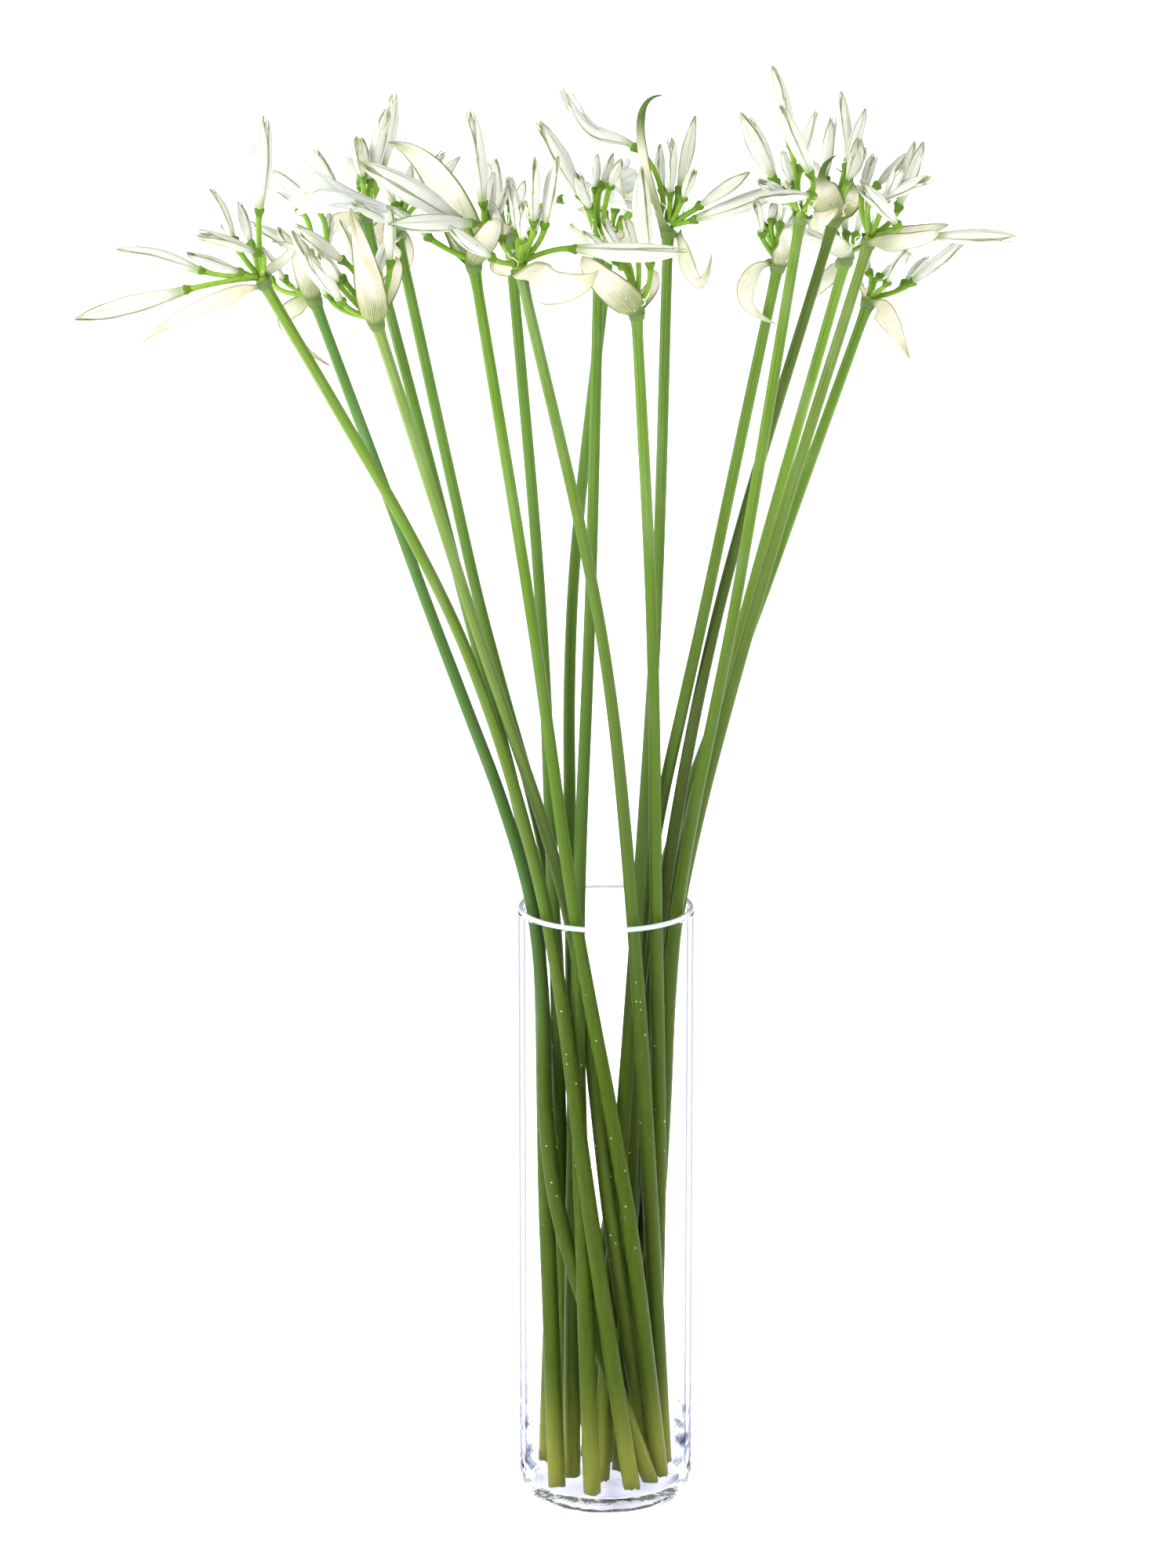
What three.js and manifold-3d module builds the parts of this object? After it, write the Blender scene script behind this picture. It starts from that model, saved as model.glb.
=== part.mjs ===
// A clear glass cylinder vase with eighteen cut stalks of white nerine, in millimetres, +Z up.
// The origin is the middle of the vase's foot. The front of the arrangement faces -Y.
// Each flower is three pieces: a leafless green stalk, the umbel of florets that grows on its top,
// and the two papery spathe valves that once wrapped the umbel, joined round the stalk by a collar.

import * as THREE from 'three';
import { mergeGeometries, mergeVertices } from 'three/addons/utils/BufferGeometryUtils.js';
import Module from 'manifold-3d';

const wasm = await Module();
wasm.setup();

// Vase
const vaseRadius = 50;
const vaseHeight = 350;
const vaseWall = 3;
const vaseFloor = 8;
const vaseCorner = 5;
const insideCorner = 3;
const rimRound = 0.8;
const vaseSides = 32;

// Stalks
const stalkSides = 6;
const footHeight = vaseFloor + 0.4;
const waistHeight = 185;
const bendHeight = 520;
const bendShare = 0.4;
const levelStep = 19;
const levelsPerRing = 3;
const stalkGap = 0.8;
const stalkTaper = [
  [0, 5.2],
  [waistHeight, 4.7],
  [vaseHeight, 3.8],
  [bendHeight, 3.3],
  [760, 3.0],
];
const stalkTopRadius = 3.9;
const flareLength = 12;

// Umbels
const viewTilt = 0.19;
const sightScale = 1.02;
const floretSides = 5;
const receptacleRadius = 3.9;
const receptacleTopRadius = 3.1;
const receptacleHeight = 8;
const receptacleLift = 0.3;
const pedicelRadius = 1.4;
const ovaryRadius = 2.7;
const ovaryLead = 2.5;
const throatRadius = 2.1;
const throatLead = 3.5;
const budSlenderness = 0.075;
const widestShare = 0.5;
const ovaryBackShare = 0.3;
const rootSunk = 2;
const rootSpread = 0.55;
const archShare = 0.45;

// The open floret: [share of its length, radius] from its tube to its throat, then the tips of its tepals
// and the notches between them.
const tepals = 6;
const funnel = [[0.05, 1.5], [0.3, 3], [0.68, 8]];
const funnelWall = 0.9;
const innerLead = 0.04;
const mouthRadius = 17;
const notchShare = 0.78;
const notchRadius = 10;

// Spathe valves
const collarSides = 8;
const collarInside = 4.45;
const collarOutside = 5.4;
const collarHeight = 4;
const valveThickness = 0.9;
const valveCup = 0.22;
const valveLean = 0.5;
const valveMiddleBack = 0.7;
const valveLead = 4;
const hangingUp = 5;
const valveTurn = 0.5;
const secondSay = 0.6;
const valveSteps = 20;
const valveLevels = [
  { share: 0.25, width: 0.55 },
  { share: 0.5, width: 0.95 },
  { share: 0.75, width: 0.8 },
  { share: 1, width: 0.16 },
];

// One row for each cut stalk, from the left of the arrangement to the right.
// foot, waist and rim are [x, y] on the vase's floor, at waistHeight and at the rim. bend is x at
// bendHeight. head is the stalk's top, [x, y, z].
// A floret is [ovary right, ovary up, tip right, tip up, tip back], measured from the head as it is seen
// from the front. A valve is [middle right, middle up, tip right, tip up, width, tip back], seen likewise.
const flowers = [
  {
    foot: [15, -23], waist: [-10, -38], rim: [-33, -24], bend: -83, head: [-184, -60, 712],
    florets: [
      [-2, 38, 2, 88, -5], [-16, 23, -30, 52, 25], [-7, 21, -15, 45, 30], [-17, 22, -25, 35, 42],
      [-3, 16, -33, 25, -28], [-12, 6, -39, 15, -30], [-33, 7, -80, 19, 8], [-41, -3, -102, -19, -8],
    ],
    valves: [[-25, -10, -65, -32, 9, -16], [12, 14, 4, 23, 6, 8]],
  },
  {
    foot: [25, -20], waist: [-29, -30], rim: [-42, -5], bend: -99, head: [-161, 15, 691],
    florets: [
      [-24, 12, -36, 33, 25], [-16, 12, -29, 30, -30], [-8, 50, -23, 62, 40], [-1, 53, -24, 73, 25],
      [-1, 24, -35, 43, -12], [-8, 22, -18, 39, -32], [4, 22, 7, 53, 35],
    ],
    valves: [[-4, 14, -11, 28, 11, -28], [-15, -5, 7, -34, 9, 6]],
  },
  {
    foot: [25, 4], waist: [0, -34], rim: [-23, -14], bend: -72, head: [-122, -95, 695],
    florets: [
      [-17, 33, -41, 50, -32], [-25, 15, -43, 48, -26], [-18, 12, -35, 36, -38], [-18, 24, -33, 42, 5],
      [-20, 22, -28, 36, -42], [-10, 30, -20, 56, 12], [-1, 26, 6, 50, 40], [7, 32, 8, 62, -6],
    ],
    valves: [[-3, 18, -12, 59, 15, -30], [6, 20, 9, 37, 9, 22]],
  },
  {
    foot: [-31, -28], waist: [-34, -14], rim: [-39, 10], bend: -80, head: [-135, 70, 729],
    florets: [
      [-3, 22, -12, 38, 35], [-3, 18, -8, 39, 48], [-1, 23, -3, 44, -32], [3, 21, -1, 45, -14],
      [3, 21, 13, 61, -8], [6, 26, 7, 56, 25], [9, 29, 15, 73, 42], [-13, 9, -29, 41, 15],
    ],
    valves: [[-15, -1, -20, -18, 10, -8], [6, -1, 8, -17, 7, 8]],
  },
  {
    foot: [-37, 17], waist: [-30, 20], rim: [-31, 22], bend: -71, head: [-115, 10, 729],
    florets: [
      [-1, 16, -13, 41, 35], [14, 21, 34, 44, 20], [9, 24, 25, 48, 38], [-4, 6, -23, 16, -30],
      [2, 16, 6, 41, 48],
    ],
    trumpet: [3, 12, -53, 24, -20],
    valves: [[-3, -13, -5, -29, 9, -14], [4, -6, 3, -19, 8, 14]],
  },
  {
    foot: [31, -8], waist: [11, -36], rim: [-17, -38], bend: -40, head: [-71, -70, 722],
    florets: [
      [-7, 24, -60, 54, -25], [0, 23, -44, 21, -40], [-24, 16, -46, 32, -14], [5, 33, -2, 81, -10],
      [7, 28, 10, 52, 34], [11, 24, 17, 44, 20],
    ],
    valves: [[7, 14, 10, 24, 12, -22], [-12, 35, -46, 67, 18, 17]],
  },
  {
    foot: [-22, 6], waist: [-25, 4], rim: [-30, 0], bend: -37, head: [-54, 55, 721],
    florets: [
      [-5, 18, -8, 45, 10], [-7, 16, -12, 44, 30], [0, 20, 0, 36, 42], [4, 17, 9, 30, -35],
    ],
    trumpet: [28, 21, 69, 27, -22],
    valves: [[-9, 6, -14, 14, 7, -16], [8, 3, 13, 8, 6, 18]],
  },
  {
    foot: [34, 12], waist: [25, -22], rim: [15, -38], bend: -3, head: [-46, -85, 722],
    florets: [
      [7, 25, 8, 58, -25], [13, 24, 20, 59, -20], [1, 16, 2, 35, -40], [-2, 20, -5, 47, 25],
      [-15, 7, -37, 22, -35], [-10, 17, -16, 38, 22], [28, 12, 88, 10, -20], [6, 20, 11, 36, 42],
    ],
    valves: [[15, -9, 41, 0, 20, -20], [-9, 2, -14, 8, 7, 16]],
  },
  {
    foot: [-10, -41], waist: [-14, -26], rim: [-15, -24], bend: -9, head: [-4, 15, 720],
    florets: [
      [-10, 29, -33, 68, -20], [-2, 32, -1, 54, 25], [1, 35, 8, 55, 30], [6, 34, 12, 47, -36],
      [-5, 22, -13, 40, -36],
    ],
    valves: [[-9, 4, -16, 14, 8, -10], [9, 6, 11, 14, 8, 12]],
  },
  {
    foot: [-20, -10], waist: [-20, -3], rim: [-21, 14], bend: -19, head: [2, 80, 713],
    florets: [
      [12, 32, -7, 30, -30], [10, 22, -6, 25, -25], [3, 20, 9, 43, 35], [-3, 19, -14, 39, 40],
      [7, 15, 22, 33, 20],
    ],
    valves: [[-6, 13, -18, 20, 9, -14], [7, 5, 14, 12, 9, 14]],
  },
  {
    foot: [27, 24], waist: [30, -8], rim: [28, -30], bend: 25, head: [16, -62, 695],
    florets: [
      [7, 27, 2, 78, -12], [-10, 29, -29, 46, 15], [-6, 31, -18, 53, 32], [0, 33, -6, 55, 45],
      [-8, 27, -22, 39, 40],
    ],
    valves: [[-14, 14, -29, 31, 16, -16], [7, 14, 7, 26, 7, 14]],
  },
  {
    foot: [-1, -26], waist: [8, -20], rim: [18, -14], bend: 28, head: [34, 20, 728],
    florets: [
      [-18, 47, -59, 79, 5], [-3, 24, -4, 51, 25], [1, 21, 1, 51, -18], [6, 24, 15, 65, 10],
      [8, 19, 14, 33, -36], [17, 15, 44, 32, -30], [14, 8, 70, 28, -18],
    ],
    valves: [[-14, 39, -4, 74, 9, -14], [12, -21, 24, -11, 8, -12]],
  },
  {
    foot: [9, 0], waist: [15, 4], rim: [23, 6], bend: 55, head: [93, -20, 715],
    florets: [
      [-7, 23, -11, 36, 38], [-9, 18, -13, 35, -25], [-3, 25, 1, 40, 40], [1, 23, 6, 49, 15],
      [3, 18, 16, 35, 30],
    ],
    valves: [[5, 11, 7, 23, 13, -8], [-16, -9, -1, -30, 10, -6]],
  },
  {
    foot: [16, 32], waist: [31, 8], rim: [40, -12], bend: 69, head: [103, -70, 748],
    florets: [
      [5, 12, -24, 9, -35], [-15, 21, -33, 54, -25], [-13, 19, -27, 54, 10], [5, 23, -12, 58, -20],
      [-5, 39, -14, 84, 40], [0, 27, 9, 58, 20], [-9, 14, -24, 18, -32], [-3, 18, -8, 39, 42],
    ],
    valves: [[10, -1, 20, 6, 10, -2], [-6, 6, -5, 14, 8, 12]],
  },
  {
    foot: [4, 14], waist: [16, 16], rim: [31, 0], bend: 62, head: [124, 0, 737],
    florets: [
      [-5, 23, -2, 55, -20], [7, 22, 12, 42, -36], [7, 21, 16, 39, -20], [9, 34, 5, 73, 30],
      [7, 30, 18, 63, 15], [-3, 19, -9, 36, 40],
    ],
    valves: [[-6, 15, 0, 35, 16, -20], [9, 15, 3, 31, 14, 26]],
  },
  {
    foot: [-10, 22], waist: [16, 28], rim: [38, 16], bend: 81, head: [134, 60, 707],
    florets: [
      [-5, 15, -9, 40, 15], [1, 16, -1, 42, 42], [6, 15, 15, 38, 20], [9, 9, 29, 18, 30],
      [-7, 11, -23, 19, 30],
    ],
    valves: [[-6, 9, -9, 21, 10, -14], [-11, -10, -20, -20, 8, 9]],
  },
  {
    foot: [2, 38], waist: [26, 22], rim: [42, 3], bend: 82, head: [142, -25, 729],
    florets: [
      [15, 10, -8, 30, -40], [3, 22, 31, 33, -35], [16, 19, 30, 55, 10], [17, 21, 27, 57, 35],
      [8, 21, 15, 40, -36], [4, 31, 23, 50, 32], [-3, 27, 4, 50, 25], [34, 4, 80, 3, -10],
    ],
    valves: [[18, 5, 44, 11, 9, 10], [18, 0, 37, 7, 10, -12]],
  },
  {
    foot: [-24, 33], waist: [8, 36], rim: [30, 28], bend: 90, head: [149, 95, 678],
    florets: [
      [24, 12, 53, 35, -30], [10, 12, 20, 30, -36], [7, 16, 27, 31, 35], [21, 12, 35, 28, 15],
      [2, 18, -3, 38, 42],
    ],
    valves: [[10, -7, 24, -31, 12, -8], [-3, 8, -3, 15, 7, 12]],
  },
];

const glass = () => new THREE.MeshStandardMaterial({
  color: 0xe8eef4, roughness: 0.05, metalness: 0, transparent: true, opacity: 0.3,
});
const green = () => new THREE.MeshStandardMaterial({ color: 0x5f8f2a, roughness: 0.45, metalness: 0 });
const white = () => new THREE.MeshStandardMaterial({ color: 0xf5f6ee, roughness: 0.6, metalness: 0 });
const paper = () => new THREE.MeshStandardMaterial({ color: 0xefe4c9, roughness: 0.8, metalness: 0 });

const root = new THREE.Group();

function addPiece(name, geometry, material) {
  const mesh = new THREE.Mesh(geometry, material);
  mesh.name = name;
  root.add(mesh);
}

// A skin over a row of rings that all have the same number of points, in order round the direction of
// travel. The row ends in an apex, a flat cap, or joins its own start, and an open row has no first cap.
// mirrored(k) turns the diagonal of the quads after point k, so that the two faces of a thin blade are
// split alike, and left(i, k) leaves a quad out where another skin grows on.
function skin(rings, options = {}) {
  const { apex = null, looped = false, open = false, mirrored = () => false, left = () => false } = options;
  const size = rings[0].length;
  const positions = rings.flat().flatMap((p) => [p.x, p.y, p.z]);
  const triangles = [];
  const spans = looped ? rings.length : rings.length - 1;
  for (let i = 0; i < spans; i += 1) {
    const here = i * size;
    const next = ((i + 1) % rings.length) * size;
    for (let k = 0; k < size; k += 1) {
      const j = (k + 1) % size;
      if (left(i, k)) continue;
      if (mirrored(k)) {
        triangles.push(here + k, here + j, next + k, here + j, next + j, next + k);
      } else {
        triangles.push(here + k, here + j, next + j, here + k, next + j, next + k);
      }
    }
  }
  if (!looped) {
    const last = (rings.length - 1) * size;
    for (let k = 1; k < size - 1; k += 1) {
      if (!open) triangles.push(0, k + 1, k);
      if (!apex) triangles.push(last, last + k, last + k + 1);
    }
    if (apex) {
      positions.push(apex.x, apex.y, apex.z);
      for (let k = 0; k < size; k += 1) {
        triangles.push(last + k, last + ((k + 1) % size), rings.length * size);
      }
    }
  }
  const geometry = new THREE.BufferGeometry();
  geometry.setAttribute('position', new THREE.Float32BufferAttribute(positions, 3));
  geometry.setIndex(triangles);
  return geometry;
}

// Directions along a path, and at each point two more across it, carried along without twisting.
function framesAlong(points, side = new THREE.Vector3(1, 0, 0)) {
  let normal = side.clone();
  return points.map((point, i) => {
    const before = points[Math.max(i - 1, 0)];
    const after = points[Math.min(i + 1, points.length - 1)];
    const along = after.clone().sub(before).normalize();
    normal = normal.clone().addScaledVector(along, -normal.dot(along)).normalize();
    return { point, along, normal, across: along.clone().cross(normal) };
  });
}

function circle({ point, normal, across }, radius, sides) {
  return Array.from({ length: sides }, (_, k) => {
    const angle = (2 * Math.PI * k) / sides;
    return point.clone()
      .addScaledVector(normal, radius * Math.cos(angle))
      .addScaledVector(across, radius * Math.sin(angle));
  });
}

function tube(points, radii, sides, apex = null) {
  return skin(framesAlong(points).map((frame, i) => circle(frame, radii[i], sides)), { apex });
}

function solidOf(geometry) {
  const merged = mergeVertices(geometry, 1e-4);
  return new wasm.Manifold(new wasm.Mesh({
    numProp: 3,
    vertProperties: new Float32Array(merged.attributes.position.array),
    triVerts: new Uint32Array(merged.index.array),
  }));
}

function fused(geometries) {
  const solid = geometries.map(solidOf).reduce((sum, next) => sum.add(next));
  const { numProp, vertProperties, triVerts } = solid.getMesh();
  const positions = [];
  for (let i = 0; i < vertProperties.length; i += numProp) {
    positions.push(vertProperties[i], vertProperties[i + 1], vertProperties[i + 2]);
  }
  const geometry = new THREE.BufferGeometry();
  geometry.setAttribute('position', new THREE.Float32BufferAttribute(positions, 3));
  geometry.setIndex(Array.from(triVerts));
  return geometry;
}

// The vase: one turned glass body, open at the top, with a thick flat floor and a rounded bottom corner.
function buildVase() {
  const inside = vaseRadius - vaseWall;
  const corner = [0, 1, 2, 3].map((step) => {
    const angle = -Math.PI / 2 + (step * Math.PI) / 6;
    return new THREE.Vector2(
      vaseRadius - vaseCorner + vaseCorner * Math.cos(angle),
      vaseCorner + vaseCorner * Math.sin(angle),
    );
  });
  const profile = [
    new THREE.Vector2(0, 0),
    ...corner,
    new THREE.Vector2(vaseRadius, vaseHeight - rimRound),
    new THREE.Vector2(vaseRadius - rimRound, vaseHeight),
    new THREE.Vector2(inside + rimRound, vaseHeight),
    new THREE.Vector2(inside, vaseHeight - rimRound),
    new THREE.Vector2(inside, vaseFloor + insideCorner),
    new THREE.Vector2(inside - insideCorner, vaseFloor),
    new THREE.Vector2(0, vaseFloor),
  ];
  const geometry = new THREE.LatheGeometry(profile, vaseSides);
  geometry.rotateX(Math.PI / 2);
  addPiece('vase', geometry, glass());
}

function radiusAt(z) {
  const next = stalkTaper.findIndex(([height]) => height >= z);
  if (next < 0) return stalkTaper[stalkTaper.length - 1][1];
  if (next === 0) return stalkTaper[0][1];
  const [z0, r0] = stalkTaper[next - 1];
  const [z1, r1] = stalkTaper[next];
  return r0 + ((r1 - r0) * (z - z0)) / (z1 - z0);
}

// A smooth curve through hand-placed knots, read at height z. Slopes are those of a Catmull-Rom curve.
function throughKnots(knots, z) {
  const last = knots.length - 1;
  let i = 0;
  while (i < last - 1 && z > knots[i + 1][0]) i += 1;
  const slope = (k) => {
    const a = knots[Math.max(k - 1, 0)];
    const b = knots[Math.min(k + 1, last)];
    return (b[1] - a[1]) / (b[0] - a[0]);
  };
  const [z0, v0] = knots[i];
  const [z1, v1] = knots[i + 1];
  const span = z1 - z0;
  const t = (z - z0) / span;
  const rest = 1 - t;
  return v0 * rest * rest * (1 + 2 * t) + v1 * t * t * (3 - 2 * t)
    + slope(i) * span * t * rest * rest - slope(i + 1) * span * t * t * rest;
}

function plannedRoute({ foot, waist, rim, bend, head }) {
  const bendBack = rim[1] + bendShare * (head[1] - rim[1]);
  const heights = [footHeight, waistHeight, vaseHeight, bendHeight, head[2]];
  const xs = [foot[0], waist[0], rim[0], bend, head[0]];
  const ys = [foot[1], waist[1], rim[1], bendBack, head[1]];
  const xKnots = heights.map((z, i) => [z, xs[i]]);
  const yKnots = heights.map((z, i) => [z, ys[i]]);
  const route = [];
  for (let z = footHeight; z < head[2] - levelStep; z += levelStep) {
    route.push([throughKnots(xKnots, z), throughKnots(yKnots, z), z]);
  }
  return route;
}

function steepness(route, k) {
  const a = route[Math.max(k - 1, 0)];
  const b = route[Math.min(k + 1, route.length - 1)];
  return Math.hypot(1, Math.hypot(b[0] - a[0], b[1] - a[1]) / (b[2] - a[2]));
}

// Stalks that would touch are bent clear of each other, mostly to the front and back, and those in the
// vase are kept off its wall. What each level moves is shared with the levels above and below it.
function clearedRoutes() {
  const rounds = 160;
  const settleRounds = 40;
  const sidewaysShare = 0.35;
  const wallAt = (z) => {
    const corner = z < footHeight + insideCorner ? insideCorner : 0;
    return (vaseRadius - vaseWall - corner) * Math.cos(Math.PI / vaseSides) - stalkGap;
  };
  const planned = flowers.map(plannedRoute);
  const shifts = planned.map((route) => route.map(() => [0, 0]));
  const routes = planned.map((route) => route.map((p) => [...p]));
  const place = () => routes.forEach((route, i) => route.forEach((p, k) => {
    p[0] = planned[i][k][0] + shifts[i][k][0];
    p[1] = planned[i][k][1] + shifts[i][k][1];
  }));
  for (let round = 0; round < rounds; round += 1) {
    for (let i = 0; i < routes.length; i += 1) {
      for (let j = i + 1; j < routes.length; j += 1) {
        const shared = Math.min(routes[i].length, routes[j].length);
        for (let k = 0; k < shared; k += 1) {
          const a = routes[i][k];
          const b = routes[j][k];
          const slack = Math.max(steepness(routes[i], k), steepness(routes[j], k));
          const needed = (2 * radiusAt(a[2]) + stalkGap) * slack;
          const gap = [b[0] - a[0], b[1] - a[1]];
          const distance = Math.hypot(gap[0], gap[1]);
          if (distance < needed) {
            const push = (needed - distance) / 2 / Math.max(distance, 0.01);
            shifts[i][k][0] -= gap[0] * push * sidewaysShare;
            shifts[j][k][0] += gap[0] * push * sidewaysShare;
            shifts[i][k][1] -= gap[1] * push;
            shifts[j][k][1] += gap[1] * push;
          }
        }
      }
    }
    if (round < rounds - settleRounds) {
      shifts.forEach((line) => {
        const old = line.map((s) => [...s]);
        line.forEach((s, k) => {
          const below = old[Math.max(k - 1, 0)];
          const above = old[Math.min(k + 1, line.length - 1)];
          s[0] = 0.5 * old[k][0] + 0.25 * (below[0] + above[0]);
          s[1] = 0.5 * old[k][1] + 0.25 * (below[1] + above[1]);
        });
      });
    }
    place();
    routes.forEach((route, i) => route.forEach((p, k) => {
      if (p[2] > vaseHeight + levelStep) return;
      const reach = Math.hypot(p[0], p[1]);
      const room = wallAt(p[2]) - radiusAt(p[2]) * steepness(route, k);
      if (reach > room) {
        shifts[i][k][0] -= p[0] * (1 - room / reach);
        shifts[i][k][1] -= p[1] * (1 - room / reach);
      }
    }));
    place();
  }
  return routes;
}

function buildStalk(name, route, head) {
  const points = route
    .filter((_, k) => k % levelsPerRing === 0)
    .map(([x, y, z]) => new THREE.Vector3(x, y, z));
  const top = new THREE.Vector3(...head);
  const last = points[points.length - 1];
  if (last.distanceTo(top) < 2 * flareLength) points.pop();
  const axis = top.clone().sub(points[points.length - 1]).normalize();
  points.push(top.clone().addScaledVector(axis, -flareLength), top);
  const radii = points.map((p) => radiusAt(p.z));
  radii[radii.length - 1] = stalkTopRadius;
  const frames = framesAlong(points);
  const rings = frames.map((frame, i) => circle(frame, radii[i], stalkSides));
  rings[0].forEach((p) => p.setZ(footHeight));
  addPiece(name, skin(rings), green());
  return frames[frames.length - 1];
}

// A place given as it is seen from the front: what lies further back is seen a little higher.
function seen([right, up, back], head) {
  return new THREE.Vector3(head[0] + right, head[1] + back, head[2] + up * sightScale - back * viewTilt);
}

// One ring of a thin cupped blade: three points across on its outer face and three behind them.
function bladeRing({ point, along, normal }, width) {
  const face = normal.clone().addScaledVector(along, -normal.dot(along)).normalize();
  const side = along.clone().cross(face);
  const at = (sign, depth) => point.clone()
    .addScaledVector(side, (sign * width) / 2)
    .addScaledVector(face, -depth - valveCup * width * Math.abs(sign));
  return [at(1, 0), at(1, valveThickness), at(0, valveThickness), at(-1, valveThickness), at(-1, 0), at(0, 0)];
}

// The stem that every floret stands on: where it leaves the receptacle, its arch, and its ovary.
function pedicelOf([ovaryRight, ovaryUp, tipRight, tipUp, back], head, axis) {
  const top = new THREE.Vector3(...head);
  const ovary = seen([ovaryRight, ovaryUp, back * ovaryBackShare], head);
  const tip = seen([tipRight, tipUp, back], head);
  const aim = tip.clone().sub(ovary).normalize();
  const towards = ovary.clone().sub(top);
  towards.addScaledVector(axis, -towards.dot(axis)).normalize();
  const base = top.clone()
    .addScaledVector(axis, receptacleHeight - rootSunk)
    .addScaledVector(towards, receptacleRadius * rootSpread);
  const arch = ovary.clone().addScaledVector(aim, -archShare * ovary.distanceTo(base));
  const middle = base.clone().multiplyScalar(0.25).addScaledVector(arch, 0.5).addScaledVector(ovary, 0.25);
  const onAim = (distance) => ovary.clone().addScaledVector(aim, distance);
  return {
    ovary,
    tip,
    aim,
    points: [base, middle, onAim(-ovaryLead), ovary, onAim(throatLead)],
    radii: [pedicelRadius, pedicelRadius, pedicelRadius, ovaryRadius, throatRadius],
  };
}

// One closed bud on its pedicel: stem, knob of the ovary, narrow throat, spindle and pointed tip.
function floretSkin(floret, head, axis) {
  const { ovary, tip, points, radii } = pedicelOf(floret, head, axis);
  const girth = tip.distanceTo(ovary) * budSlenderness;
  return tube([...points, ovary.clone().lerp(tip, widestShare)], [...radii, girth], floretSides, tip);
}

// One open floret: a narrow tube that widens into a thin-walled mouth with six pointed tepals.
function trumpetSkins(floret, head, axis) {
  const { ovary, tip, points, radii } = pedicelOf(floret, head, axis);
  const [frame] = framesAlong([ovary, tip], new THREE.Vector3(0, 0, 1));
  const on = (share, radius, k) => ovary.clone().lerp(tip, share)
    .addScaledVector(frame.normal, radius * Math.cos((Math.PI * k) / tepals))
    .addScaledVector(frame.across, radius * Math.sin((Math.PI * k) / tepals));
  const round = (share, radius) => Array.from({ length: 2 * tepals }, (_, k) => on(share, radius, k));
  const star = (inset) => Array.from({ length: 2 * tepals }, (_, k) => (
    k % 2 === 0 ? on(1, mouthRadius - inset, k) : on(notchShare, notchRadius - inset, k)));
  const outside = funnel.map(([share, radius]) => round(share, radius));
  const inside = funnel.slice(1).reverse()
    .map(([share, radius]) => round(share + innerLead, radius - funnelWall));
  const rings = [...outside, star(0), star(funnelWall), ...inside];
  const bottom = ovary.clone().lerp(tip, funnel[1][0]);
  return [tube(points, radii, floretSides), skin(rings, { apex: bottom })];
}

function buildUmbel(name, flower, frame) {
  const axis = frame.along;
  const at = (height) => ({ ...frame, point: frame.point.clone().addScaledVector(axis, height) });
  const receptacle = skin([
    circle(at(receptacleLift), receptacleRadius, stalkSides),
    circle(at(receptacleHeight), receptacleTopRadius, stalkSides),
  ]);
  const florets = flower.florets.map((floret) => floretSkin(floret, flower.head, axis));
  const trumpet = flower.trumpet ? trumpetSkins(flower.trumpet, flower.head, axis) : [];
  addPiece(name, fused([receptacle, ...florets, ...trumpet]), white());
}

// The rings of one valve beyond its root. It leaves the root along lead and bends through its middle to
// its tip, while its convex face turns a little to the front or the back.
function valveRings([middleRight, middleUp, tipRight, tipUp, width, back], head, { start, lead, convex }) {
  const before = start.clone().sub(lead);
  const first = start.clone().addScaledVector(lead, valveLead);
  const middle = seen([middleRight, middleUp, back * valveMiddleBack], head);
  const tip = seen([tipRight, tipUp, back], head);
  const second = middle.clone().multiplyScalar(8)
    .sub(start).addScaledVector(first, -3).sub(tip).divideScalar(3);
  const curve = new THREE.CubicBezierCurve3(start, first, second, tip);
  const facing = new THREE.Vector3(0, Math.sign(back), 0);
  const frames = framesAlong([before, ...curve.getPoints(valveSteps)], convex).slice(1);
  return valveLevels.map((level) => {
    const { point, along, normal } = frames[Math.round(level.share * valveSteps)];
    const turn = valveTurn * level.share * Math.max(normal.dot(facing), 0);
    return bladeRing({ point, along, normal: normal.clone().lerp(facing, turn) }, level.width * width);
  });
}

// The two valves stand opposite each other. The first grows from the corner of the collar that suits the
// leans of both best.
function valveCorners([first, second], frame) {
  const leanOf = ([middleRight, , , , , back]) => new THREE.Vector3(middleRight * valveLean, back, 0).normalize();
  const towards = leanOf(first).sub(leanOf(second).multiplyScalar(secondSay));
  const angle = Math.atan2(towards.dot(frame.across), towards.dot(frame.normal));
  const corner = (Math.round((angle / (2 * Math.PI)) * collarSides) + 2 * collarSides) % collarSides;
  return [corner, (corner + collarSides / 2) % collarSides];
}

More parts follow.
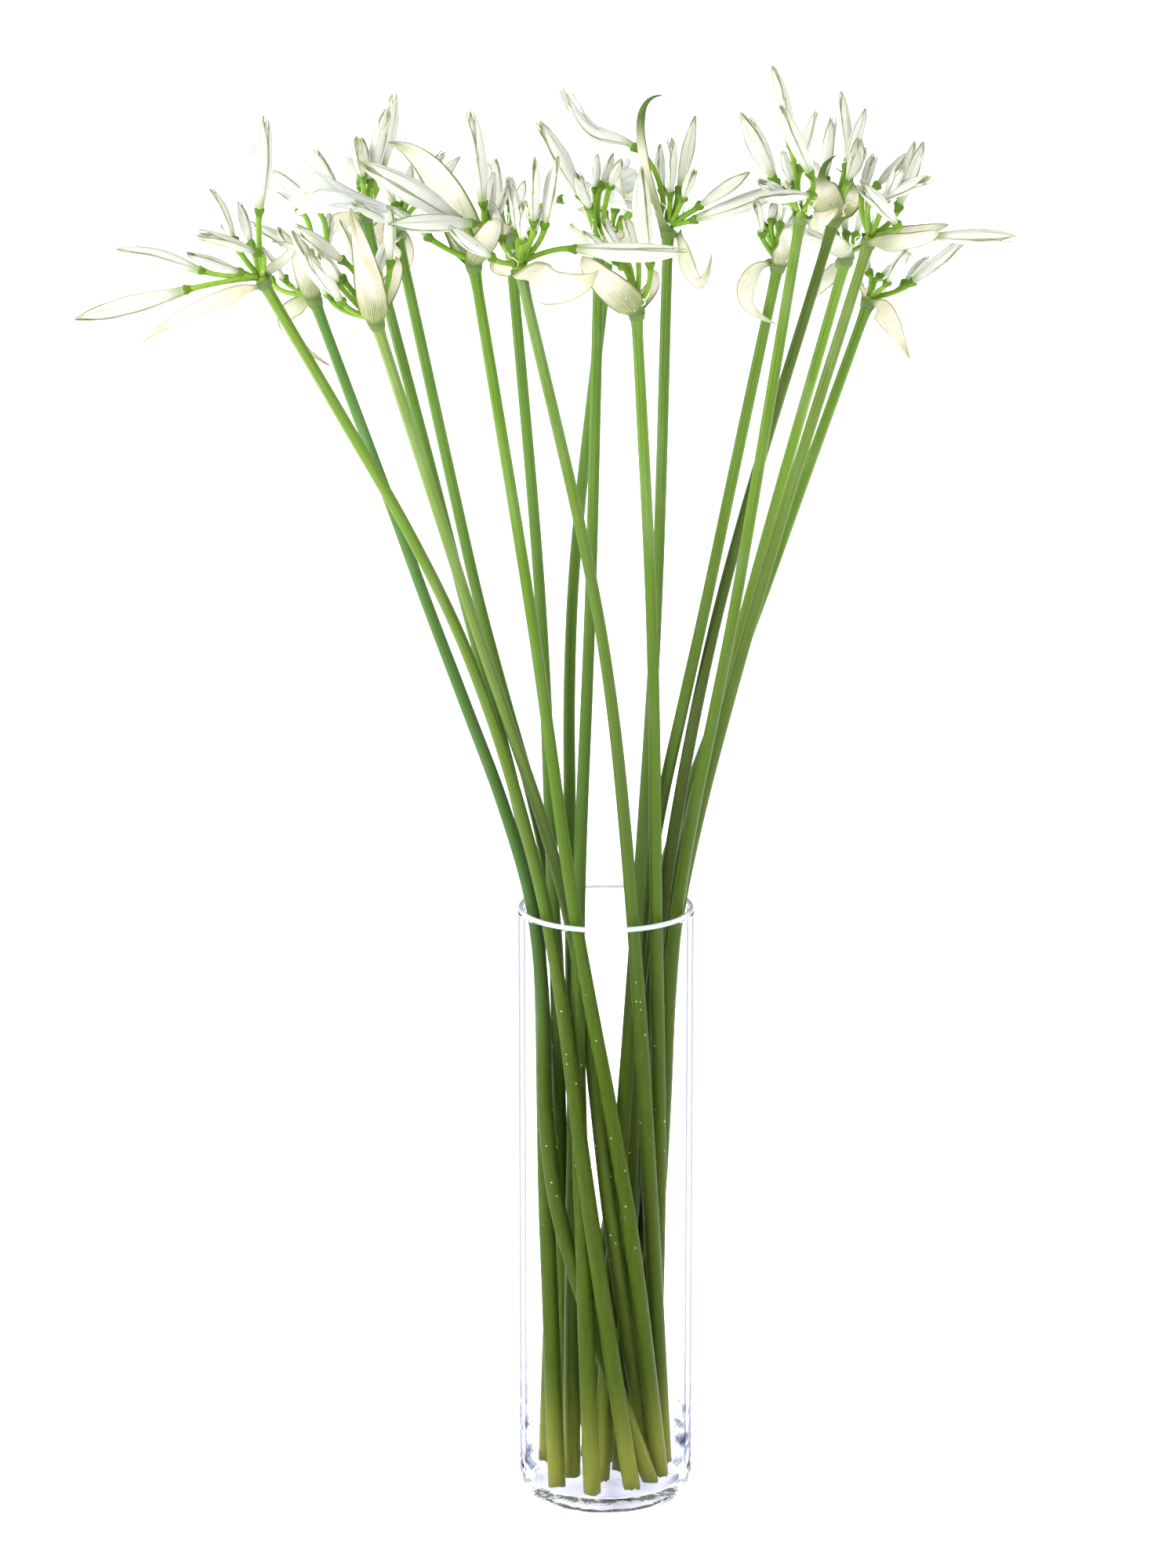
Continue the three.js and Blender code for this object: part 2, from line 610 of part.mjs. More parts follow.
// The collar and its two valves are one skin. An upright valve grows out of the collar's top, and a
// hanging one out of its side.
function buildSpathe(name, flower, frame) {
  const corner = (k, radius, height) => {
    const angle = (2 * Math.PI * k) / collarSides;
    return frame.point.clone()
      .addScaledVector(frame.normal, radius * Math.cos(angle))
      .addScaledVector(frame.across, radius * Math.sin(angle))
      .addScaledVector(frame.along, height * collarHeight);
  };
  const collar = Array.from({ length: collarSides }, (_, k) => [
    corner(k, collarOutside, 0.5), corner(k, collarOutside, -0.5),
    corner(k, collarInside, -0.5), corner(k, collarInside, 0.5),
  ]);
  const roots = valveCorners(flower.valves, frame).map((at, i) => {
    const hangs = flower.valves[i][1] <= hangingUp;
    const outward = corner(at, 1, 0).sub(frame.point);
    const from = (turn, isOuter) => (hangs
      ? corner(at + turn, collarOutside, isOuter ? -0.5 : 0.5)
      : corner(at + turn, isOuter ? collarOutside : collarInside, 0.5));
    return {
      ring: [from(1, true), from(1, false), from(0, false), from(-1, false), from(-1, true), from(0, true)],
      start: corner(at, collarOutside, hangs ? 0 : 0.5),
      lead: hangs ? outward : frame.along.clone(),
      convex: hangs ? frame.along.clone().negate() : outward,
      left: (k, side) => side === (hangs ? 0 : 3) && (k === at || (k + 1) % collarSides === at),
    };
  });
  const pieces = [skin(collar, { looped: true, left: (k, side) => roots.some((root) => root.left(k, side)) })];
  roots.forEach((root, i) => {
    const rings = [root.ring, ...valveRings(flower.valves[i], flower.head, root)];
    pieces.push(skin(rings, { open: true, mirrored: (k) => k === 1 || k === 5 }));
  });
  addPiece(name, mergeGeometries(pieces), paper());
}

buildVase();
const routes = clearedRoutes();
flowers.forEach((flower, i) => {
  const number = String(i + 1).padStart(2, '0');
  const frame = buildStalk(`stalk_${number}`, routes[i], flower.head);
  buildUmbel(`umbel_${number}`, flower, frame);
  buildSpathe(`spathe_${number}`, flower, frame);
});

export default root;
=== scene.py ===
# Eighteen cut stalks of white nerine in a clear glass cylinder vase. Metres, +Z up, front towards -Y.
# The vase stands on the floor, the stalks stand in it, and each carries an umbel of florets and a spathe.

import math
import random

import bpy
import numpy as np
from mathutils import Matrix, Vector


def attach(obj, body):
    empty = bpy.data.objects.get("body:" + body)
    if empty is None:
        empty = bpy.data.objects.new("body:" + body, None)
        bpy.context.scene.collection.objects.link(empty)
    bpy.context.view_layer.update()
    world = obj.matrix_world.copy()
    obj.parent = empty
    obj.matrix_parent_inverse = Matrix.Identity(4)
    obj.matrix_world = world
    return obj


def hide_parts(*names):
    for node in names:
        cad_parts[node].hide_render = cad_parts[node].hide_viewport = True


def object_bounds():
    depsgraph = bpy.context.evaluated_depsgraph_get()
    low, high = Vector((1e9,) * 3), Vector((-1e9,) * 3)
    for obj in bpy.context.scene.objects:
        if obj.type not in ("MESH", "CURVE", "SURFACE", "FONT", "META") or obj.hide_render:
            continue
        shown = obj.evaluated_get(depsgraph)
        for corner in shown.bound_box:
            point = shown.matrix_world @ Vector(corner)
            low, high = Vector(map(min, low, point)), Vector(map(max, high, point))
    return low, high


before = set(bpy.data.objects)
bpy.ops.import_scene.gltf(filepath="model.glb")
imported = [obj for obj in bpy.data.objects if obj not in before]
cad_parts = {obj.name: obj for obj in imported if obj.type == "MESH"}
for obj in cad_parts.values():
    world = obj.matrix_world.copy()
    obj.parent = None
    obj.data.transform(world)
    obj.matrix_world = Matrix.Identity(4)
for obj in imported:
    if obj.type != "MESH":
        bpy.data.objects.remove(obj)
solid_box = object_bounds()
mm = 0.001


# The studio: a plain white floor that runs back behind the vase, one large soft lamp at the upper left,
# a smaller one at the right, tall strips whose reflections draw the sides of the glass, and a pale sky
# that is brightest near the horizon.
floor_reach = 20.0
floor_lines = 9
floor_glow = 0.92
camera_place = (-0.0102, -2.657, 1.083)
camera_tilt = 76.0
camera_lens = 111.6


def paint(red, green, blue):
    """A colour as it is read on a screen, from 0 to 255, as the linear one that a shader takes."""
    def linear(level):
        share = level / 255
        return share / 12.92 if share <= 0.04045 else ((share + 0.055) / 1.055) ** 2.4

    return (linear(red), linear(green), linear(blue), 1.0)


class Finish:
    """A material that is built up node by node. Its plain settings stand on the shader's own sockets."""

    def __init__(self, name, **settings):
        self.material = bpy.data.materials.new(name)
        self.material.use_nodes = True
        self.tree = self.material.node_tree
        self.shader = self.tree.nodes["Principled BSDF"]
        for setting, value in settings.items():
            self.shader.inputs[setting.replace("_", " ")].default_value = value

    def add(self, kind, inputs=(), **settings):
        node = self.tree.nodes.new("ShaderNode" + kind)
        for setting, value in settings.items():
            setattr(node, setting, value)
        self.feed(node, dict(inputs))
        return node

    def feed(self, node, inputs):
        for socket, value in inputs.items():
            if isinstance(value, bpy.types.NodeSocket):
                self.tree.links.new(value, node.inputs[socket])
            else:
                node.inputs[socket].default_value = value

    def place(self):
        return self.add("TexCoord").outputs["Object"]

    def noise(self, scale, stretch=(1, 1, 1), detail=3.0):
        stretched = self.add("Mapping", {"Vector": self.place(), "Scale": stretch}).outputs[0]
        settings = {"Vector": stretched, "Scale": scale, "Detail": detail}
        return self.add("TexNoise", settings).outputs[0]

    def height(self):
        return self.add("SeparateXYZ", {0: self.place()}).outputs[2]

    def told(self, name):
        return self.add("Attribute", attribute_name=name).outputs["Fac"]

    def ranged(self, value, low, high, first=0.0, last=1.0):
        inputs = {0: value, 1: low, 2: high, 3: first, 4: last}
        return self.add("MapRange", inputs, interpolation_type="SMOOTHSTEP").outputs[0]

    def math(self, operation, one, other=0.0):
        return self.add("Math", {0: one, 1: other}, operation=operation).outputs[0]

    def times(self, one, other):
        return self.math("MULTIPLY", one, other)

    def mix(self, share, one, other):
        return self.add("Mix", {0: share, 6: one, 7: other}, data_type="RGBA").outputs[2]

    def bump(self, value, depth, strength=1.0, over=None):
        node = self.add("Bump", {"Height": value, "Distance": depth, "Strength": strength})
        if over is not None:
            self.feed(node, {"Normal": over})
        return node.outputs[0]

    def wear(self, **inputs):
        self.feed(self.shader, {name.replace("_", " "): value for name, value in inputs.items()})

    def glow_through(self, share, colour):
        """Lets light through the piece, as a thin petal or dry sheath does."""
        thin = self.add("BsdfTranslucent", {"Color": colour})
        both = self.add("MixShader", {0: share, 1: self.shader.outputs[0], 2: thin.outputs[0]})
        self.tree.links.new(both.outputs[0], self.tree.nodes["Material Output"].inputs["Surface"])


# A piece with a thickness is kept this far inside the box of the solids, and keeps the edges between
# its faces and its rim crisp.
room = 0.6 * mm
crisp_angle = math.radians(60)


class Shell:
    """Gathers rows of points into one mesh, with named values at every point for its finish."""

    def __init__(self, *names):
        self.names = names
        self.points = []
        self.faces = []
        self.values = {name: [] for name in names}
        self.count = 0

    def add(self, rows, closed=False, capped=False, **values):
        """Joins rows of points by faces. Closed rows are rings, and caps fill the first and the last."""
        rows = np.asarray(rows, float)
        levels, across = rows.shape[:2]
        index = self.count + np.arange(levels * across).reshape(levels, across)
        here = index if closed else index[:, :-1]
        ahead = np.roll(index, -1, axis=1) if closed else index[:, 1:]
        quads = np.stack([here[:-1], ahead[:-1], ahead[1:], here[1:]], axis=-1)
        self.faces += quads.reshape(-1, 4).tolist()
        if capped:
            self.faces += [index[0][::-1].tolist(), index[-1].tolist()]
        self.points.append(rows.reshape(-1, 3))
        self.count += levels * across
        for name in self.names:
            value = np.broadcast_to(np.asarray(values.get(name, 0.0), float), (levels, across))
            self.values[name].append(value.ravel())

    def piece(self, name, finish, thickness=0.0):
        """Makes the object. One with a thickness is a thin sheet with two faces."""
        mesh = bpy.data.meshes.new(name)
        points = np.concatenate(self.points)
        if thickness:
            points = np.clip(points, np.array(solid_box[0]) + room, np.array(solid_box[1]) - room)
        mesh.from_pydata(points.tolist(), [], self.faces)
        for value, parts in self.values.items():
            attribute = mesh.attributes.new(value, "FLOAT", "POINT")
            attribute.data.foreach_set("value", np.concatenate(parts).astype(np.float32))
        mesh.materials.append(finish.material)
        mesh.shade_smooth()
        made = bpy.data.objects.new(name, mesh)
        bpy.context.scene.collection.objects.link(made)
        if thickness:
            solid = made.modifiers.new("thickness", "SOLIDIFY")
            solid.thickness = thickness
            solid.offset = 0.0
            edge = made.modifiers.new("crisp edge", "EDGE_SPLIT")
            edge.split_angle = crisp_angle
        return made


def lamp(name, place, aim, width, length, power, colour=(1.0, 1.0, 1.0)):
    """A soft rectangular lamp that the camera doesn't see."""
    light = bpy.data.lights.new(name, "AREA")
    light.shape = "RECTANGLE"
    light.size = width
    light.size_y = length
    light.energy = power
    light.color = colour
    made = bpy.data.objects.new(name, light)
    made.location = place
    made.rotation_euler = (Vector(aim) - Vector(place)).to_track_quat("-Z", "Y").to_euler()
    made.visible_camera = False
    bpy.context.scene.collection.objects.link(made)


white_floor = Finish("white_floor", Roughness=0.75)
floor_tone = white_floor.mix(white_floor.noise(3.0), paint(246, 247, 249), paint(252, 252, 252))
white_floor.wear(Base_Color=floor_tone, Emission_Color=floor_tone, Emission_Strength=floor_glow)
ground = Shell()
reach = np.linspace(-floor_reach, floor_reach, floor_lines)
ground.add([[(x, y, 0.0) for x in reach] for y in reach])
floor = ground.piece("floor", white_floor)

lamp("window_left", (-2.3, -1.7, 1.9), (0, 0, 0.5), 1.2, 1.6, 106, (1.0, 0.99, 0.965))
lamp("window_right", (2.2, -0.9, 1.5), (0, 0, 0.5), 0.8, 1.6, 17, (0.97, 0.98, 1.0))
lamp("strip_left", (-1.1, 0.25, 0.6), (0, 0, 0.35), 0.12, 1.1, 4)
lamp("strip_right", (1.1, 0.25, 0.6), (0, 0, 0.35), 0.12, 1.1, 4)

sky = bpy.data.worlds.new("sky")
sky.use_nodes = True
nodes, links = sky.node_tree.nodes, sky.node_tree.links
towards = nodes.new("ShaderNodeSeparateXYZ")
fade = nodes.new("ShaderNodeValToRGB")
low_sky, high_sky = fade.color_ramp.elements
low_sky.position = 0.08
low_sky.color = paint(270, 271, 272)
high_sky.position = 0.3
high_sky.color = paint(225, 226, 225)
links.new(nodes.new("ShaderNodeTexCoord").outputs["Generated"], towards.inputs[0])
links.new(towards.outputs["Z"], fade.inputs[0])
links.new(fade.outputs[0], nodes["Background"].inputs["Color"])
bpy.context.scene.world = sky
bpy.context.scene.view_settings.view_transform = "Standard"

camera_data = bpy.data.cameras.new("camera")
camera_data.lens = camera_lens
camera = bpy.data.objects.new("camera", camera_data)
camera.location = camera_place
camera.rotation_euler = (math.radians(camera_tilt), 0.0, 0.0)
bpy.context.scene.collection.objects.link(camera)
bpy.context.scene.camera = camera


# The vase: a cylinder of clear glass, blown into a mould and cut straight at the rim, which is fire
# polished to a round lip. Its floor is thick, with a rounded corner outside and a smaller one inside, and
# just over it the glass carries streaks of painted shade where it is seen aslant. It holds no water.
vase_radius = 50 * mm
vase_height = 350 * mm
vase_wall = 3 * mm
vase_floor = 8 * mm
outer_corner = 5 * mm
inner_corner = 3 * mm
punt_radius = 41 * mm
punt_outline = [(0.6, 1.6), (0.8, 1.3), (0.95, 0.5), (1.0, 0.1)]
lip_radius = vase_wall / 2
lip_steps = 20
vase_sides = 256
# Rings of points this far from each corner keep the smooth shading of the flat glass true.
corner_lead = 0.1 * mm
cap_lead = 1.5 * mm


def arc(centre, radius, first, last, steps):
    """Points [out, up] on an arc whose angles are in degrees."""
    angles = np.radians(np.linspace(first, last, steps))
    return [(centre[0] + radius * math.cos(turn), centre[1] + radius * math.sin(turn)) for turn in angles]


def turned(profile, sides):
    """Rows of points round the upright axis, one for each [out, up] of the profile."""
    turns = np.linspace(0, 2 * math.pi, sides, endpoint=False)
    return [[(out * math.cos(turn), out * math.sin(turn), up) for turn in turns] for out, up in profile]


vase_inside = vase_radius - vase_wall
foot_flat = vase_radius - outer_corner
inner_flat = vase_inside - inner_corner
foot_top = vase_floor + inner_corner
wall_top = vase_height - 2 * lip_radius

foot_glass = Finish("foot_glass", Roughness=0.0, IOR=1.1, Transmission_Weight=1.0)
streaked = foot_glass.ranged(foot_glass.noise(70.0, (1, 1, 2.5), 5.0), 0.42, 0.66)
foot_tone = foot_glass.mix(streaked, paint(236, 238, 246), paint(206, 208, 224))
# Where the foot is seen aslant its colour darkens: a painted shade that draws the edges of the glass.
foot_side = foot_glass.add("LayerWeight", {"Blend": 0.5}).outputs["Facing"]
foot_painted_edge = foot_glass.ranged(foot_side, 0.62, 0.9, 0.0, 0.7)
foot_glass.wear(
    Base_Color=foot_glass.mix(foot_painted_edge, foot_tone, paint(92, 100, 128)),
    Normal=foot_glass.bump(foot_glass.noise(90.0, (1, 1, 0.4)), 1.2 * mm, 0.3),
)
wall_glass = Finish("wall_glass", Roughness=0.0, IOR=1.04, Transmission_Weight=1.0)
# Where the wall is seen aslant its colour darkens almost to slate: a painted shade that draws the sides of
# the glass.
aslant = wall_glass.add("LayerWeight", {"Blend": 0.5}).outputs["Facing"]
wall_painted_edge = wall_glass.ranged(aslant, 0.68, 0.82, 0.0, 1.0)
# Low on the wall, where it is seen aslant, streaks of painted shade darken the glass.
painted_streak_shade = wall_glass.ranged(wall_glass.noise(48.0, (1.0, 1.0, 2.6), 4.0), 0.5, 0.58)
painted_streak_low = wall_glass.ranged(wall_glass.height(), 0.035, 0.085, 1.0, 0.0)
painted_streak_aslant = wall_glass.ranged(aslant, 0.3, 0.6, 0.0, 1.0)
painted_streak_shade = wall_glass.times(wall_glass.times(painted_streak_shade, painted_streak_low), painted_streak_aslant)
wall_tone = wall_glass.mix(wall_painted_edge, paint(254, 254, 255), paint(66, 72, 94))
wall_glass.wear(Base_Color=wall_glass.mix(painted_streak_shade, wall_tone, paint(96, 104, 130)))
vase = Shell()
vase.add(
    turned([
        *[(share * punt_radius, up * mm) for share, up in punt_outline],
        (foot_flat - cap_lead, 0.0),
        (foot_flat - corner_lead, 0.0),
        *arc((foot_flat, outer_corner), outer_corner, -90, 0, 11),
        (vase_radius, outer_corner + corner_lead),
        (vase_radius, foot_top),
        (vase_radius, wall_top - corner_lead),
        (vase_radius, wall_top),
        (vase_radius - corner_lead, wall_top),
        (vase_inside + corner_lead, wall_top),
        (vase_inside, wall_top),
        (vase_inside, wall_top - corner_lead),
        (vase_inside, foot_top + corner_lead),
        *arc((inner_flat, foot_top), inner_corner, 0, -90, 9),
        (inner_flat - corner_lead, vase_floor),
        (inner_flat - cap_lead, vase_floor),
    ], vase_sides),
    closed=True, capped=True,
)
glass_body = vase.piece("glass_body", wall_glass)
glass_body.data.materials.append(foot_glass.material)
for face in glass_body.data.polygons:
    face.material_index = int(face.center.z < foot_top)

lip_glass = Finish("lip_glass", Roughness=0.05, IOR=1.47, Transmission_Weight=0.55)
# Where the lip is seen aslant its colour darkens: a painted shade that draws its edges.
lip_side = lip_glass.add("LayerWeight", {"Blend": 0.5}).outputs["Facing"]
lip_painted_edge = lip_glass.ranged(lip_side, 0.45, 0.85, 0.0, 0.8)
lip_tone = lip_glass.mix(lip_glass.noise(9.0), paint(244, 247, 254), paint(252, 253, 255))
lip_glass.wear(Base_Color=lip_glass.mix(lip_painted_edge, lip_tone, paint(112, 124, 158)))
lip = Shell()
lip_centre = (vase_radius - lip_radius, vase_height - lip_radius)
lip.add(turned(arc(lip_centre, lip_radius, -90, 270, lip_steps), vase_sides), closed=True)
glass_lip = lip.piece("glass_lip", lip_glass)

for piece in (glass_body, glass_lip):
    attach(piece, "root")
    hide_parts("vase")


# Eighteen leafless flower stalks, smooth and fleshy, cut square at the foot. Each stands on the vase's
# floor and swells a little below its umbel. They differ in green, and are paler and torn at the cut.
stalk_sides = 20
stalk_steps = 5
stalk_fullness = 0.97
stalk_ridges = 7
ridge_depth = 0.02
ring_spacing = 4 * mm
tear = 1.8 * mm
skin_depth = 0.82
streak_depth = 0.56

# One entry for each flower, from the left of the arrangement to the right. Places are in millimetres
# from the stalk's top, as they are seen from the front. A floret is [ovary right, ovary up, tip right,
# tip up, tip back], a trumpet is an open one, and a valve is [middle right, middle up, tip right, tip up,
# width, tip back, green share]. Curled is the floret that bends down, slim are florets pressed thin by a
# neighbour, horned marks valves drawn out into a horn, and wrapped marks an umbel that they still wrap.
flowers = [
    {
        "tint": (127, 164, 55),
        "florets": [
            (-2, 38, 2, 88, -5), (-16, 23, -30, 52, 25), (-7, 21, -15, 45, 30), (-17, 22, -25, 35, 42),
            (-3, 16, -33, 25, -28), (-12, 6, -39, 15, -30), (-33, 7, -80, 19, 8), (-41, -3, -102, -19, -8),
        ],
        "valves": [(-25, -10, -65, -32, 9, -16, 0.1), (12, 14, 4, 23, 6, 8, 0.0)],
    },
    {
        "tint": (104, 152, 67),
        "florets": [
            (-24, 12, -36, 33, 25), (-16, 12, -29, 30, -30), (-8, 50, -23, 62, 40), (-1, 53, -24, 73, 25),
            (-1, 24, -35, 43, -12), (-8, 22, -18, 39, -32), (4, 22, 7, 53, 35),
        ],
        "valves": [(-4, 14, -11, 28, 11, -28, 0.6), (-15, -5, 7, -34, 9, 6, 0.4)],
    },
    {
        "tint": (135, 168, 73),
        "wrapped": True,
        "florets": [
            (-17, 33, -41, 50, -32), (-25, 15, -43, 48, -26), (-18, 12, -35, 36, -38), (-18, 24, -33, 42, 5),
            (-20, 22, -28, 36, -42), (-10, 30, -20, 56, 12), (-1, 26, 6, 50, 40), (7, 32, 8, 62, -6),
        ],
        "valves": [(-3, 18, -12, 59, 15, -30, 0.9), (6, 20, 9, 37, 9, 22, 0.7)],
    },
    {
        "tint": (116, 160, 59),
        "florets": [
            (-3, 22, -12, 38, 35), (-3, 18, -8, 39, 48), (-1, 23, -3, 44, -32), (3, 21, -1, 45, -14),
            (3, 21, 13, 61, -8), (6, 26, 7, 56, 25), (9, 29, 15, 73, 42), (-13, 9, -29, 41, 15),
        ],
        "valves": [(-15, -1, -20, -18, 10, -8, 0.1), (6, -1, 8, -17, 7, 8, 0.1)],
    },
    {
        "tint": (113, 156, 55),
        "florets": [
            (-1, 16, -13, 41, 35), (14, 21, 34, 44, 20), (9, 24, 25, 48, 38), (-4, 6, -23, 16, -30),
            (2, 16, 6, 41, 48),
        ],
        "trumpet": (3, 12, -53, 24, -20),
        "valves": [(-3, -13, -5, -29, 9, -14, 0.1), (4, -6, 3, -19, 8, 14, 0.1)],
    },
    {
        "tint": (116, 158, 39),
        "florets": [
            (-7, 24, -60, 54, -25), (0, 23, -44, 21, -40), (-24, 16, -46, 32, -14), (5, 33, -2, 81, -10),
            (7, 28, 10, 52, 34), (11, 24, 17, 44, 20),
        ],
        "valves": [(7, 14, 10, 24, 12, -22, 0.6), (-12, 35, -46, 67, 18, 17, 0.6)],
    },
    {
        "tint": (114, 158, 59),
        "florets": [
            (-5, 18, -8, 45, 10), (-7, 16, -12, 44, 30), (0, 20, 0, 36, 42), (4, 17, 9, 30, -35),
        ],
        "trumpet": (28, 21, 69, 27, -22),
        "valves": [(-9, 6, -14, 14, 7, -16, 0.1), (8, 3, 13, 8, 6, 18, 0.1)],
    },
    {
        "tint": (113, 148, 49),
        "florets": [
            (7, 25, 8, 58, -25), (13, 24, 20, 59, -20), (1, 16, 2, 35, -40), (-2, 20, -5, 47, 25),
            (-15, 7, -37, 22, -35), (-10, 17, -16, 38, 22), (28, 12, 88, 10, -20), (6, 20, 11, 36, 42),
        ],
        "valves": [(15, -9, 41, 0, 20, -20, 0.1), (-9, 2, -14, 8, 7, 16, 0.2)],
    },
    {
        "tint": (113, 154, 53),
        "slim": [1, 2],
        "florets": [
            (-10, 29, -33, 68, -20), (-2, 32, -1, 54, 25), (1, 35, 8, 55, 30), (6, 34, 12, 47, -36),
            (-5, 22, -13, 40, -36),
        ],
        "valves": [(-9, 4, -16, 14, 8, -10, 0.1), (9, 6, 11, 14, 8, 12, 0.3)],
    },
    {
        "tint": (113, 154, 51),
        "florets": [
            (12, 32, -7, 30, -30), (10, 22, -6, 25, -25), (3, 20, 9, 43, 35), (-3, 19, -14, 39, 40),
            (7, 15, 22, 33, 20),
        ],
        "valves": [(-6, 13, -18, 20, 9, -14, 0.4), (7, 5, 14, 12, 9, 14, 0.3)],
    },
    {
        "tint": (116, 156, 43),
        "florets": [
            (7, 27, 2, 78, -12), (-10, 29, -29, 46, 15), (-6, 31, -18, 53, 32), (0, 33, -6, 55, 45),
            (-8, 27, -22, 39, 40),
        ],
        "valves": [(-14, 14, -29, 31, 16, -16, 0.7), (7, 14, 7, 26, 7, 14, 0.7)],
    },
    {
        "tint": (114, 152, 55),
        "slim": [6],
        "curled": 0,
        "florets": [
            (-18, 47, -59, 79, 5), (-3, 24, -4, 51, 25), (1, 21, 1, 51, -18), (6, 24, 15, 65, 10),
            (8, 19, 14, 33, -36), (17, 15, 44, 32, -30), (14, 8, 70, 28, -18),
        ],
        "valves": [(-14, 39, -4, 74, 6, -14, 1.0), (12, -21, 24, -11, 8, -12, 0.1)],
    },
    {
        "tint": (116, 154, 47),
        "slim": [0],
        "florets": [
            (-7, 23, -11, 36, 38), (-9, 18, -13, 35, -25), (-3, 25, 1, 40, 40), (1, 23, 6, 49, 15),
            (3, 18, 16, 35, 30),
        ],
        "valves": [(5, 11, 7, 23, 13, -8, 0.5), (-16, -9, -1, -30, 10, -6, 0.1)],
    },
    {
        "tint": (110, 148, 37),
        "florets": [
            (5, 12, -24, 9, -35), (-15, 21, -33, 54, -25), (-13, 19, -27, 54, 10), (5, 23, -12, 58, -20),
            (-5, 39, -14, 84, 40), (0, 27, 9, 58, 20), (-9, 14, -24, 18, -32), (-3, 18, -8, 39, 42),
        ],
        "valves": [(10, -1, 20, 6, 10, -2, 0.1), (-6, 6, -5, 14, 8, 12, 0.2)],
    },
    {
        "tint": (102, 128, 45),
        "horned": True,
        "florets": [
            (-5, 23, -2, 55, -20), (7, 22, 12, 42, -36), (7, 21, 16, 39, -20), (9, 34, 5, 73, 30),
            (7, 30, 18, 63, 15), (-3, 19, -9, 36, 40),
        ],
        "valves": [(-6, 15, 0, 35, 16, -20, 1.0), (9, 15, 3, 31, 14, 26, 1.0)],
    },
    {
        "tint": (139, 182, 61),
        "florets": [
            (-5, 15, -9, 40, 15), (1, 16, -1, 42, 42), (6, 15, 15, 38, 20), (9, 9, 29, 18, 30),
            (-7, 11, -23, 19, 30),
        ],
        "valves": [(-6, 9, -9, 21, 10, -14, 0.2), (-11, -10, -20, -20, 8, 9, 0.1)],
    },
    {
        "tint": (120, 150, 57),
        "florets": [
            (15, 10, -8, 30, -40), (3, 22, 31, 33, -35), (16, 19, 30, 55, 10), (17, 21, 27, 57, 35),
            (8, 21, 15, 40, -36), (4, 31, 23, 50, 32), (-3, 27, 4, 50, 25), (34, 4, 80, 3, -10),
        ],
        "valves": [(18, 5, 44, 11, 9, 10, 0.7), (18, 0, 37, 7, 10, -12, 0.5)],
    },
    {
        "tint": (118, 160, 49),
        "florets": [
            (24, 12, 53, 35, -30), (10, 12, 20, 30, -36), (7, 16, 27, 31, 35), (21, 12, 35, 28, 15),
            (2, 18, -3, 38, 42),
        ],
        "valves": [(10, -7, 24, -31, 12, -8, 0.1), (-3, 8, -3, 15, 7, 12, 0.3)],
    },
]


def rings_of(node):
    """The middle and the radius of each ring of points of a packed stalk, from its foot to its top."""
    points = np.unique(np.round([tuple(v.co) for v in node.data.vertices], 6), axis=0)
    points = points[np.argsort(points[:, 2])]
    breaks = np.nonzero(np.diff(points[:, 2]) > ring_spacing)[0] + 1
    middles = [ring.mean(axis=0) for ring in np.split(points, breaks)]
    radii = [
        np.linalg.norm(ring - middle, axis=1).mean()
        for ring, middle in zip(np.split(points, breaks), middles)
    ]
    return np.array(middles), np.array(radii)


def unit(vector):
    vector = np.asarray(vector, float)
    return vector / np.linalg.norm(vector, axis=-1, keepdims=True)


def smooth_line(knots, steps):
    """A Catmull-Rom curve through the knots, with so many steps from each to the next."""
    knots = np.asarray(knots, float)
    padded = np.concatenate([2 * knots[:1] - knots[1:2], knots, 2 * knots[-1:] - knots[-2:-1]])
    share = np.linspace(0, 1, steps, endpoint=False)[:, None]
    line = []
    for a, b, c, d in zip(padded, padded[1:], padded[2:], padded[3:]):
        line.append(0.5 * (2 * b + (c - a) * share + (2 * a - 5 * b + 4 * c - d) * share**2
                           + (3 * b - 3 * c + d - a) * share**3))
    return np.concatenate([*line, knots[-1:]])


def carried(points, side=(1.0, 0.0, 0.0)):
    """Directions along a line, and two across it that are carried along without twisting."""
    points = np.asarray(points, float)
    along = unit(np.gradient(points, axis=0))
    normals = []
    normal = np.asarray(side, float)
    for direction in along:
        normal = unit(normal - direction * normal.dot(direction))
        normals.append(normal)
    normals = np.array(normals)
    return along, normals, np.cross(along, normals)


def pipe(points, radii, sides, side=(1.0, 0.0, 0.0)):
    """Rings of points round a line. A radius is one number, or one for each point of its ring."""
    _, normal, across = carried(points, side)
    turns = np.linspace(0, 2 * math.pi, sides, endpoint=False)
    radii = np.asarray(radii, float)
    radii = radii.reshape(-1, 1) if radii.ndim < 2 else radii
    radii = np.broadcast_to(radii, (len(points), sides))[:, :, None]
    spokes = np.cos(turns)[None, :, None] * normal[:, None] + np.sin(turns)[None, :, None] * across[:, None]
    return np.asarray(points)[:, None] + radii * spokes


